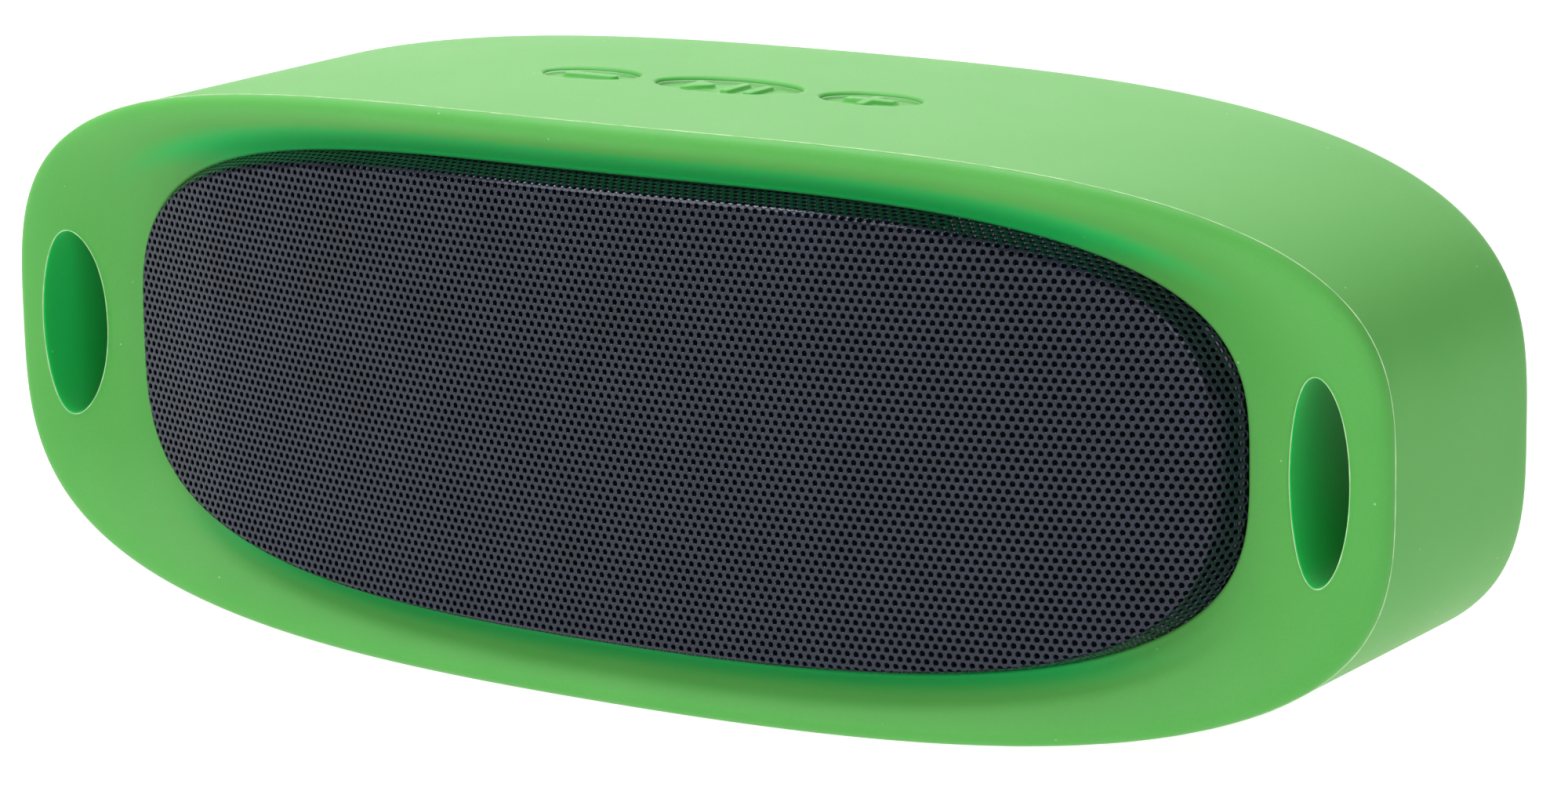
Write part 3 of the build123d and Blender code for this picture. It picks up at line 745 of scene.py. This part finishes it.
def makePad(name):
    button = buttons[name]
    x, top, bottom = button["x"], button["top"], button["bottom"]
    halfX, halfY = button["half"]
    gap, curl, step, edge = pad["gap"], pad["curl"], pad["gridStep"], pad["gridEdge"]
    count = recess["columns"]
    mesh = newMesh()
    # the floor curls up to meet the recess wall
    rings = [(gap, pad["curlHeight"]), (gap + 0.05, 0.17), (gap + 0.14, 0.07), (gap + 0.25, 0.02),
             (curl + gap, 0.0), (1.0, 0.0)]
    loops = [(ellipse(x, 0, halfX - d, halfY - d, count), lift) for d, lift in rings]
    for shape in iconShapes(name, x):
        soft, tall = icon["soft"], icon["height"]
        loops += [(shape(0.0), 0.001), (shape(soft * 0.3), tall * 0.55), (shape(soft * 0.7), tall * 0.9),
                  (shape(soft), tall), (shape(soft * 1.6), tall)]
    grid = [(x + i * step, j * step) for i in range(-24, 25) for j in range(-12, 13)]
    bases = [shape(-0.25) for shape in iconShapes(name, x)]
    loose = [p for p in grid if hypot((p[0] - x) / (halfX - edge), p[1] / (halfY - edge)) < 1
             and not any(insideLoop(p, base) for base in bases)]

    def place(u, v, lift):        # the floor is slightly domed
        share = hypot((u - x) / halfX, v / halfY)
        return (u, v, top + lift + icon["dome"] * max(0.0, 1 - share * share) ** 1.5)

    addSheet(mesh, loops, loose, lambda u, v: True, place)
    outline = ellipse(x, 0, halfX - gap, halfY - gap, count)
    heights = (top + pad["curlHeight"], top - pad["wallDepth"], bottom)
    addRows(mesh, [[(u, v, z) for u, v in outline] for z in heights])
    addCap(mesh, [(u, v, bottom) for u, v in outline])
    return finishMesh(name + "PadSkin", mesh, silicone)


def insideLoop(point, loop):
    x, y = point
    crossings = 0
    for (ax, ay), (bx, by) in zip(loop, loop[1:] + loop[:1]):
        if (ay > y) != (by > y) and x < ax + (bx - ax) * (y - ay) / (by - ay):
            crossings += 1
    return crossings % 2 == 1


for name in buttons:
    register(makePad(name), name + "_button", "silicone", name + "_pad")
print("button pads made")

# port door

door = {
    "corner": 2.4, "round": 0.5, "backRound": 0.3, "middle": 5.5,
    "groove": (1.5, 2.2), "grooveDeep": 0.25, "grooveSide": 0.12,
    "gripHalf": (7.0, 0.55), "gripUp": 3.2, "gripCorner": 0.5,
    "gripSteps": ((0.0, -0.3), (0.0, 0.2), (0.1, 0.4), (0.3, 0.5)),
}


def roundedBox(halfX, halfZ, corner, x, z):
    points = []
    for k, (sx, sz) in enumerate(((1, 1), (-1, 1), (-1, -1), (1, -1))):
        for i in range(9):
            a = pi / 2 * (k + i / 8)
            points.append((x + sx * (halfX - corner) + corner * cos(a),
                           z + sz * (halfZ - corner) + corner * sin(a)))
    return points


def makeDoor():
    low, high = nodeBox("port_door")
    x, z = (low.x + high.x) / 2, (low.z + high.z) / 2
    halfX, halfZ = (high.x - low.x) / 2, (high.z - low.z) / 2
    inner, outer, r = low.y, high.y, door["round"]
    g0, g1 = door["groove"]
    deep = door["grooveDeep"]
    side, ease, middle = door["grooveSide"], door["backRound"], door["middle"]
    profile = [(middle, inner), (2.0, inner), (ease, inner), (0.0, inner + ease), (0.0, outer - r)]
    profile += [(r * (1 - cos(a)), outer - r * (1 - sin(a))) for a in (pi / 8, pi / 4, 3 * pi / 8, pi / 2)]
    profile += [(g0, outer), (g0 + side, outer - deep), (g1 - side, outer - deep), (g1, outer),
                (3.4, outer), (middle, outer)]
    mesh = newMesh()
    rows = []
    for d, y in profile:
        ring = roundedBox(halfX - d, halfZ - d, max(door["corner"] - d, ease), x, z)
        bowed = y > inner + r          # only the outside follows the sleeve's bow
        rows.append([(px, y - (px * px / (2 * sleeve["rimBow"]) if bowed else 0), pz) for px, pz in ring])
    addRows(mesh, rows)
    addCap(mesh, rows[0])
    addCap(mesh, rows[-1])
    # a raised grip along the free edge
    gx, gz = door["gripHalf"]
    gripZ = low.z + door["gripUp"]
    rows = []
    for d, proud in door["gripSteps"]:
        ring = roundedBox(gx - d, gz - d, door["gripCorner"] - d, x, gripZ)
        rows.append([(px, outer + proud - px * px / (2 * sleeve["rimBow"]), pz) for px, pz in ring])
    addRows(mesh, rows)
    addCap(mesh, rows[0])
    addCap(mesh, rows[-1])
    return finishMesh("portDoorFlap", mesh, silicone)


register(makeDoor(), "door", "silicone", "port_door")
print("port door made")

# perforated grille

grille = {
    "pitch": 1.0, "hole": 0.62, "sheet": 0.5, "chamfer": 0.06,
    "crease": (69.6, 24.3, 3.43, 3.39), "bow": 237.0, "bend": 0.8,
    "wallTop": 77.0, "wallEnd": 58.0, "wallLength": 4.9, "pieces": 4, "holeSides": 8,
}


def makeCell():
    # one hexagon of sheet round one punched hole, with its burr rounded off
    pitch, bevel, thick = grille["pitch"], grille["chamfer"], grille["sheet"]
    radius, sides = grille["hole"] / 2, grille["holeSides"]
    corners = [pi / 2 + pi / 3 * i for i in range(6)]
    hexagon = [(pitch / sqrt(3) * cos(a), pitch / sqrt(3) * sin(a)) for a in corners]
    mesh = newMesh()
    for holeRadius, height in ((radius + bevel, 0.0), (radius, -thick)):
        hole = ellipse(0, 0, holeRadius, holeRadius, sides)
        addSheet(mesh, [(hexagon, 0), (hole, 0)], [], lambda x, y, h=holeRadius: hypot(x, y) > h * 0.9,
                 lambda x, y, lift, height=height: (x, y, height))
    rings = [(radius + bevel, 0.0), (radius, -bevel), (radius, -thick)]
    addRows(mesh, [[(x, y, h) for x, y in ellipse(0, 0, r, r, sides)] for r, h in rings])
    cell = finishMesh("punchedCell", mesh, grillePaint, smooth=False, weld=0.0005)
    work = bmesh.new()
    work.from_mesh(cell.data)
    for face in work.faces:      # the face round the hole looks outwards, the back looks in, the hole inwards
        middle = face.calc_center_median()
        if abs(face.normal.z) > 0.9:
            wanted = Vector((0, 0, 1 if middle.z > -thick * mm / 2 else -1))
        else:
            wanted = Vector((-middle.x, -middle.y, 0))
        if face.normal.dot(wanted) < 0:
            face.normal_flip()
    work.to_mesh(cell.data)
    work.free()
    return cell


creaseColumns = 256


def makeCreaseFace():
    mesh = newMesh()
    addCap(mesh, [(x, z, 0.0) for x, z in ovalLoop(grille["crease"], creaseColumns)])
    return finishMesh("creaseFace", mesh, None)


def grilleTree(material):
    # a hexagonal field of punched cells, bent over the crease and bowed along its length
    tree = bpy.data.node_groups.new("perforatedSheet", "GeometryNodeTree")
    tree.is_modifier = True
    tree.interface.new_socket("Geometry", in_out="INPUT", socket_type="NodeSocketGeometry")
    for label in ("Cell", "Crease"):
        tree.interface.new_socket(label, in_out="INPUT", socket_type="NodeSocketObject")
    for label in ("Pitch", "From X", "To X", "Wall Length", "Bend Radius", "Wall Angle Top", "Wall Angle End",
                  "Bow Radius", "Front Y", "Middle Z"):
        tree.interface.new_socket(label, in_out="INPUT", socket_type="NodeSocketFloat")
    for label in ("Columns", "Rows"):
        tree.interface.new_socket(label, in_out="INPUT", socket_type="NodeSocketInt")
    tree.interface.new_socket("Geometry", in_out="OUTPUT", socket_type="NodeSocketGeometry")
    given = addNode(tree, "NodeGroupInput").outputs
    here = addNode(tree, "GeometryNodeInputPosition").outputs[0]
    hereX, hereY, hereZ = addNode(tree, "ShaderNodeSeparateXYZ", {0: here}).outputs
    values = {socket.name: socket for socket in given}
    values.update(hereY=hereY, hereZ=hereZ)

    # rows half a pitch out of step
    addSteps(tree, values, [
        ("rowPitch", sums, "MULTIPLY", "Pitch", sqrt(3) / 2),
        ("columnGaps", sums, "SUBTRACT", "Columns", 1.0),
        ("sizeX", sums, "MULTIPLY", "Pitch", "columnGaps"),
        ("rowGaps", sums, "SUBTRACT", "Rows", 1.0),
        ("sizeY", sums, "MULTIPLY", "rowPitch", "rowGaps"),
        ("halfY", sums, "MULTIPLY", "sizeY", 0.5),
        ("fromFirst", sums, "ADD", "hereY", "halfY"),
        ("rowsUp", sums, "DIVIDE", "fromFirst", "rowPitch"),
        ("row", sums, "ROUND", "rowsUp"),
        ("odd", sums, "MODULO", "row", 2.0),
        ("way", sums, "SUBTRACT", "odd", 0.5),
        ("halfPitch", sums, "MULTIPLY", "Pitch", 0.5),
        ("sideStep", sums, "MULTIPLY", "way", "halfPitch"),
        ("weld", sums, "MULTIPLY", "Pitch", 0.02),
    ])
    field = addNode(tree, "GeometryNodeMeshGrid", {
        "Size X": values["sizeX"], "Size Y": values["sizeY"],
        "Vertices X": given["Columns"], "Vertices Y": given["Rows"]})
    shift = addNode(tree, "ShaderNodeCombineXYZ", {0: values["sideStep"], 1: 0.0, 2: 0.0}).outputs[0]
    staggered = addNode(tree, "GeometryNodeSetPosition", {"Geometry": field.outputs["Mesh"], "Offset": shift})

    # keep the cells of this stretch that lie on the front or on its bent wall
    creaseFace = addNode(tree, "GeometryNodeObjectInfo", {"Object": given["Crease"]}).outputs["Geometry"]
    near = addNode(tree, "GeometryNodeProximity", {0: creaseFace, "Sample Position": here},
                   target_element="FACES")
    tooFar = addNode(tree, "FunctionNodeCompare", {0: near.outputs["Distance"], 1: given["Wall Length"]},
                     operation="GREATER_THAN").outputs[0]
    tooLeft = addNode(tree, "FunctionNodeCompare", {0: hereX, 1: given["From X"]},
                      operation="LESS_THAN").outputs[0]
    tooRight = addNode(tree, "FunctionNodeCompare", {0: hereX, 1: given["To X"]},
                       operation="GREATER_EQUAL").outputs[0]
    sideways = addNode(tree, "FunctionNodeBooleanMath", {0: tooLeft, 1: tooRight}, operation="OR").outputs[0]
    unwanted = addNode(tree, "FunctionNodeBooleanMath", {0: tooFar, 1: sideways}, operation="OR").outputs[0]
    kept = addNode(tree, "GeometryNodeDeleteGeometry",
                   {"Geometry": staggered.outputs[0], "Selection": unwanted}, domain="POINT")
    cell = addNode(tree, "GeometryNodeObjectInfo", {"Object": given["Cell"]}).outputs["Geometry"]
    cells = addNode(tree, "GeometryNodeInstanceOnPoints", {"Points": kept.outputs[0], "Instance": cell})
    sheet = addNode(tree, "GeometryNodeRealizeInstances", {0: cells.outputs[0]})
    merged = addNode(tree, "GeometryNodeMergeByDistance", {0: sheet.outputs[0], "Distance": values["weld"]})

    # drape: distance outside the crease becomes an arc, then a straight drafted wall
    onPlane = addNode(tree, "ShaderNodeCombineXYZ", {0: hereX, 1: hereY, 2: 0.0}).outputs[0]
    edge = addNode(tree, "GeometryNodeProximity", {0: creaseFace, "Sample Position": onPlane},
                   target_element="FACES")
    values.update(onPlane=onPlane, foot=edge.outputs["Position"], distance=edge.outputs["Distance"])
    addSteps(tree, values, [
        ("away", vectors, "SUBTRACT", "onPlane", "foot"),
        ("outward", vectors, "NORMALIZE", "away"),
    ])
    values["outwardX"] = addNode(tree, "ShaderNodeSeparateXYZ", {0: values["outward"]}).outputs[0]
    values["footX"] = addNode(tree, "ShaderNodeSeparateXYZ", {0: values["foot"]}).outputs[0]
    addSteps(tree, values, [
        ("endness", sums, "MULTIPLY", "outwardX", "outwardX"),
        ("draft", sums, "SUBTRACT", "Wall Angle End", "Wall Angle Top"),
        ("angle", sums, "MULTIPLY_ADD", "draft", "endness", "Wall Angle Top"),
        ("arcLength", sums, "MULTIPLY", "Bend Radius", "angle"),
        ("onArc", sums, "MINIMUM", "distance", "arcLength"),
        ("onWall", sums, "SUBTRACT", "distance", "onArc"),
        ("turned", sums, "DIVIDE", "onArc", "Bend Radius"),
        ("sine", sums, "SINE", "turned"),
        ("cosine", sums, "COSINE", "turned"),
        # sideways: round the arc, along the wall, and out through the sheet's thickness
        ("wallCosine", sums, "COSINE", "angle"),
        ("arcSide", sums, "MULTIPLY", "Bend Radius", "sine"),
        ("wallSide", sums, "MULTIPLY", "onWall", "wallCosine"),
        ("midSide", sums, "ADD", "arcSide", "wallSide"),
        ("thickSide", sums, "MULTIPLY", "sine", "hereZ"),
        ("lateral", sums, "ADD", "midSide", "thickSide"),
        # backwards: the same three
        ("arcDrop", sums, "SUBTRACT", 1.0, "cosine"),
        ("arcBack", sums, "MULTIPLY", "Bend Radius", "arcDrop"),
        ("wallSine", sums, "SINE", "angle"),
        ("wallBack", sums, "MULTIPLY", "onWall", "wallSine"),
        ("midBack", sums, "ADD", "arcBack", "wallBack"),
        ("thickBack", sums, "MULTIPLY", "cosine", "hereZ"),
        ("depth", sums, "SUBTRACT", "midBack", "thickBack"),
        # the bow along the length
        ("footSquare", sums, "MULTIPLY", "footX", "footX"),
        ("bowWidth", sums, "MULTIPLY", "Bow Radius", 2.0),
        ("bowed", sums, "DIVIDE", "footSquare", "bowWidth"),
        ("frontHere", sums, "ADD", "Front Y", "bowed"),
        ("placeY", sums, "ADD", "frontHere", "depth"),
        ("reach", vectors, "SCALE", {0: "outward", "Scale": "lateral"}),
        ("across", vectors, "ADD", "foot", "reach"),
    ])
    acrossX, acrossY, _ = addNode(tree, "ShaderNodeSeparateXYZ", {0: values["across"]}).outputs
    placeZ = addNode(tree, "ShaderNodeMath", {0: acrossY, 1: given["Middle Z"]}, operation="ADD").outputs[0]
    placed = addNode(tree, "ShaderNodeCombineXYZ", {0: acrossX, 1: values["placeY"], 2: placeZ}).outputs[0]
    draped = addNode(tree, "GeometryNodeSetPosition", {"Geometry": merged.outputs[0], "Position": placed})
    painted = addNode(tree, "GeometryNodeSetMaterial", {"Geometry": draped.outputs[0], "Material": material})
    addNode(tree, "NodeGroupOutput", {0: painted.outputs[0]})
    return tree


def runTree(name, tree, values, material):
    # evaluates a tree with the given named inputs and keeps the result as a plain mesh
    base = bpy.data.objects.new(name + "Base", bpy.data.meshes.new(name + "Base"))
    scene.collection.objects.link(base)
    modifier = base.modifiers.new("nodes", "NODES")
    modifier.node_group = tree
    sockets = {item.name: item.identifier for item in tree.interface.items_tree
               if item.in_out == "INPUT" and item.name != "Geometry"}
    for label, value in values.items():
        modifier[sockets[label]] = value
    graph = bpy.context.evaluated_depsgraph_get()
    data = bpy.data.meshes.new_from_object(base.evaluated_get(graph))
    data.name = name
    base.modifiers.clear()
    bpy.data.objects.remove(base)
    data.materials.clear()
    data.materials.append(material)
    data.shade_smooth()
    data.set_sharp_from_angle(angle=radians(40))
    piece = bpy.data.objects.new(name, data)
    scene.collection.objects.link(piece)
    return piece


def closeRim(piece, thickness):
    # joins the front and back skins of a punched sheet along its cut edge
    work = bmesh.new()
    work.from_mesh(piece.data)
    rim = [edge for edge in work.edges if edge.is_boundary]
    ends = list({vert for edge in rim for vert in edge.verts})
    tree = KDTree(len(ends))
    for i, vert in enumerate(ends):
        tree.insert(vert.co, i)
    tree.balance()
    used = set()
    for edge in rim:
        loop = edge.link_loops[0]
        a, b, normal = loop.vert, loop.link_loop_next.vert, loop.face.normal.copy()
        found = [tree.find(vert.co - normal * thickness) for vert in (a, b)]
        backA, backB = (ends[item[1]] for item in found)
        key = frozenset((a, b, backA, backB))
        if len(key) == 4 and key not in used and max(item[2] for item in found) < thickness * 0.8:
            if work.edges.get((backA, backB)):
                used.add(key)
                work.faces.new((b, a, backA, backB))
    left = sum(edge.is_boundary for edge in work.edges)
    work.to_mesh(piece.data)
    work.free()
    return left


def makeGrille():
    cell, crease = makeCell(), makeCreaseFace()
    tree = grilleTree(grillePaint)
    low = nodeBox("grille")[0]
    reachX = grille["crease"][0] + grille["wallLength"] + grille["pitch"]
    reachZ = grille["crease"][1] + grille["wallLength"] + grille["pitch"]
    columns = 2 * ceil(reachX / grille["pitch"]) + 1
    rows = 2 * ceil(reachZ / (grille["pitch"] * sqrt(3) / 2)) + 1
    width = 2 * reachX / grille["pieces"]
    pieces = []
    for k in range(grille["pieces"]):
        values = {"Cell": cell, "Crease": crease, "Pitch": grille["pitch"] * mm,
                  "Columns": columns, "Rows": rows,
                  "From X": (-reachX + width * k) * mm, "To X": (-reachX + width * (k + 1)) * mm,
                  "Wall Length": grille["wallLength"] * mm, "Bend Radius": grille["bend"] * mm,
                  "Wall Angle Top": radians(grille["wallTop"]), "Wall Angle End": radians(grille["wallEnd"]),
                  "Bow Radius": grille["bow"] * mm, "Front Y": low.y * mm, "Middle Z": midZ * mm}
        piece = runTree("perforatedSheet%d" % (k + 1), tree, values, grillePaint)
        print("grille stretch", k + 1, "open edges left:", closeRim(piece, grille["sheet"] * mm))
        pieces.append(piece)
    for helper in (cell, crease):
        bpy.data.objects.remove(helper)
    return pieces


flange = {               # section: distance inside the punched wall (None is the flange's edge), and depth
    "section": ((0.6, 3.5), (0.6, 5.7), (None, 5.9), (None, 6.3), (1.1, 6.3), (1.1, 3.5)),
    "wallDepth": 4.0, "reach": 3.9,
}


def makeGrilleFlange():
    # the plain edge of the sheet: an upright band, then the flange clamped behind the lip
    low = nodeBox("grille")[0]
    loop = ovalLoop(grille["crease"], creaseColumns)
    bend = grille["bend"]
    rows = []
    for inset, depth in flange["section"]:
        row = []
        for (x, z), (nx, nz) in zip(loop, outwards(loop)):
            angle = radians(grille["wallTop"] + (grille["wallEnd"] - grille["wallTop"]) * nx * nx)
            straight = flange["wallDepth"] - bend * (1 - cos(angle))
            wall = bend * sin(angle) + straight / sin(angle) * cos(angle)
            out = flange["reach"] if inset is None else wall - inset
            row.append((x + nx * out, low.y + x * x / (2 * grille["bow"]) + depth, z + nz * out + midZ))
        rows.append(row)
    mesh = newMesh()
    addRows(mesh, rows, joinEnds=True)
    return finishMesh("grilleFlange", mesh, grillePaint)


grillePieces = makeGrille() + [makeGrilleFlange()]
for piece in grillePieces:
    register(piece, "housing", "grille_paint", "grille")
print("grille triangles:", sum(len(p.vertices) - 2 for piece in grillePieces for p in piece.data.polygons))

# screws

thread = {"pitch": 0.5, "runIn": 0.15, "root": 0.82, "point": 0.3}
screwColumns = 32


def makeScrew(name, headRadius, headHeight, shankRadius, shankLength, recessDepth):
    # pan head with a cross recess, head top at +Z, seat at the origin
    mesh = newMesh()
    reach, half = headRadius * 0.58, headRadius * 0.15
    top = [(ellipse(0, 0, headRadius * f, headRadius * f, screwColumns), -headHeight * drop)
           for f, drop in ((0.96, 0.32), (0.86, 0.12), (0.74, 0.04))]
    slots = [(cross(0, 0, reach, reach, half), 0.0001),
             (cross(0, 0, reach * 0.9, reach * 0.9, half * 0.8), -recessDepth)]
    addSheet(mesh, top + slots, [(0, 0)], lambda x, y: True,
             lambda x, y, lift: (x, y, headHeight + (lift if hypot(x, y) > 0 else -recessDepth)))
    rings = [(headRadius * 0.96, headHeight * 0.68), (headRadius, headHeight * 0.45), (headRadius, 0.0),
             (shankRadius, 0.0)]
    turns = int(shankLength / thread["pitch"])
    for k in range(turns * 2):       # a crest and a root for each turn
        share = 1.0 if k % 2 else thread["root"]
        rings.append((shankRadius * share, -thread["runIn"] - thread["pitch"] / 2 * k))
    rings.append((shankRadius * thread["point"], -shankLength))
    rows = [[(x, y, h) for x, y in ellipse(0, 0, r, r, screwColumns)] for r, h in rings]
    addRows(mesh, rows)
    addCap(mesh, rows[-1])
    return finishMesh(name, mesh, finishes["screw_steel"])


def screwTree():
    # one screw at every point of the input mesh, turned by a seeded random amount
    tree = bpy.data.node_groups.new("screwSet", "GeometryNodeTree")
    tree.is_modifier = True
    tree.interface.new_socket("Geometry", in_out="INPUT", socket_type="NodeSocketGeometry")
    for label, kind in (("Screw", "Object"), ("Places", "Object"), ("Tilt", "Vector"), ("Seed", "Int"),
                        ("Finish", "Material")):
        tree.interface.new_socket(label, in_out="INPUT", socket_type="NodeSocket" + kind)
    tree.interface.new_socket("Geometry", in_out="OUTPUT", socket_type="NodeSocketGeometry")
    given = addNode(tree, "NodeGroupInput").outputs
    places = addNode(tree, "GeometryNodeObjectInfo", {"Object": given["Places"]}).outputs["Geometry"]
    screw = addNode(tree, "GeometryNodeObjectInfo", {"Object": given["Screw"]}).outputs["Geometry"]
    twist = addNode(tree, "FunctionNodeRandomValue", {"Max": (0.0, 0.0, 2 * pi), "Seed": given["Seed"]},
                    data_type="FLOAT_VECTOR").outputs[0]
    turn = addNode(tree, "FunctionNodeRotateEuler", {0: twist, 1: given["Tilt"]}, space="OBJECT").outputs[0]
    copies = addNode(tree, "GeometryNodeInstanceOnPoints",
                     {"Points": places, "Instance": screw, "Rotation": turn})
    solid = addNode(tree, "GeometryNodeRealizeInstances", {0: copies.outputs[0]})
    painted = addNode(tree, "GeometryNodeSetMaterial",
                      {"Geometry": solid.outputs[0], "Material": given["Finish"]})
    addNode(tree, "NodeGroupOutput", {0: painted.outputs[0]})
    return tree


def pointSet(name, points):
    data = bpy.data.meshes.new(name)
    data.from_pydata([tuple(c * mm for c in p) for p in points], [], [])
    places = bpy.data.objects.new(name, data)
    scene.collection.objects.link(places)
    return places


def solidBoxes(node):          # the lowest and highest corners of each separate solid of a CAD node
    work = bmesh.new()
    work.from_mesh(nodes[node].data)
    bmesh.ops.remove_doubles(work, verts=work.verts, dist=0.001 * mm)
    left, boxes = set(work.verts), []
    while left:
        stack, group = [left.pop()], []
        while stack:
            vert = stack.pop()
            group.append(vert.co.copy())
            for edge in vert.link_edges:
                other = edge.other_vert(vert)
                if other in left:
                    left.remove(other)
                    stack.append(other)
        low = Vector(min(v[i] for v in group) for i in range(3)) / mm
        high = Vector(max(v[i] for v in group) for i in range(3)) / mm
        boxes.append((low, high))
    work.free()
    return sorted(boxes, key=lambda box: (round(box[0].x, 2), round(box[0].z, 2)))


caseScrew = {"head": 2.5, "headHeight": 1.8, "shank": 1.0, "recess": 0.9}
driverScrew = {"head": 1.5, "headHeight": 0.8, "shank": 0.7, "recess": 0.4}


def makeScrewSet(name, node, sizes, backwards, seed):
    solids = solidBoxes(node)
    low, high = solids[0]
    length = high.y - low.y - sizes["headHeight"]
    screw = makeScrew(name + "Master", sizes["head"], sizes["headHeight"], sizes["shank"], length,
                      sizes["recess"])
    drop = sizes["headHeight"]
    seats = [((a.x + b.x) / 2, b.y - drop if backwards else a.y + drop, (a.z + b.z) / 2) for a, b in solids]
    places = pointSet(name + "Places", seats)
    tilt = (radians(-90) if backwards else radians(90), 0, 0)
    piece = runTree(name, screwTree(), {"Screw": screw, "Places": places, "Tilt": tilt, "Seed": seed,
                                        "Finish": finishes["screw_steel"]}, finishes["screw_steel"])
    for helper in (screw, places):
        bpy.data.objects.remove(helper)
    return piece


screwSets = (("caseScrewSet", "case_screws", caseScrew, True, 3),
             ("driverScrewSet", "driver_screws", driverScrew, False, 5))
for name, node, sizes, backwards, seed in screwSets:
    register(makeScrewSet(name, node, sizes, backwards, seed), "housing", "screw_steel", node)
print("screws made")

# camera, lights and floor

cameraPlace = {          # metres and degrees, seen from the front right and a little above
    "at": (0.32374, -0.48500, 0.16038), "turn": (77.27072, 0.90973, 32.97351), "lens": 122.72,
}


def makeCamera():
    data = bpy.data.cameras.new("camera")
    data.lens, data.sensor_width, data.sensor_fit = cameraPlace["lens"], 36.0, "HORIZONTAL"
    data.clip_start = 0.01
    camera = bpy.data.objects.new("camera", data)
    turn = Euler([radians(a) for a in cameraPlace["turn"]])
    camera.matrix_world = Matrix.Translation(cameraPlace["at"]) @ turn.to_matrix().to_4x4()
    scene.collection.objects.link(camera)
    scene.camera = camera


lights = {               # where each stands and how large it is, in metres, and its watts
    "overheadSoftbox": ((-0.1, 0.2, 1.1), (1.6, 1.0), 1.6),
    "keyStrip": ((-0.4, 0.1, 0.95), (1.1, 0.28), 9.4),
    "backSoftbox": ((-0.45, 1.25, 0.4), (1.3, 0.6), 4.5),
    "frontLeftFill": ((-0.7, -1.2, 0.9), (0.9, 0.9), 9),
    "rightFill": ((1.0, -0.95, 0.45), (0.8, 0.8), 5),
}
lightTable = {"glow": 0.96, "rings": (60, 400, 1500, 6000), "columns": 96}      # radii in millimetres
worldGlow = 0.36


def makeLight(name, at, size, watts):
    data = bpy.data.lights.new(name, "AREA")
    data.shape, data.size, data.size_y, data.energy = "RECTANGLE", size[0], size[1], watts
    light = bpy.data.objects.new(name, data)
    aim = Vector((0, 0, 0.03)) - Vector(at)
    light.rotation_euler = aim.to_track_quat("-Z", "Y").to_euler()
    light.location = at
    scene.collection.objects.link(light)


def makeFloor():
    mesh = newMesh()
    rows = [[(x, y, 0.0) for x, y in ellipse(0, 0, r, r, lightTable["columns"])] for r in lightTable["rings"]]
    addRows(mesh, rows)
    addCap(mesh, rows[0])
    # opal acrylic lit from below: an even white that washes shadows out
    material, tree, shader, where = startMaterial("backlitAcrylic")
    tree.links.new(tint(tree, grain(tree, where, 300), "#7C7C7B", "#80807F"), shader.inputs["Base Color"])
    setSockets(shader, {"Roughness": 0.9, "Emission Color": (1, 1, 1, 1),
                        "Emission Strength": lightTable["glow"]})
    floor = finishMesh("floor", mesh, material)
    if floor.data.polygons[0].normal.z < 0:
        floor.data.flip_normals()


makeCamera()
for name, (at, size, watts) in lights.items():
    makeLight(name, at, size, watts)
makeFloor()
world = bpy.data.worlds.new("studio")
scene.world = world
world.use_nodes = True
setSockets(world.node_tree.nodes["Background"], {"Color": (1, 1, 1, 1), "Strength": worldGlow})
scene.view_settings.view_transform = "Standard"
print("stage ready")
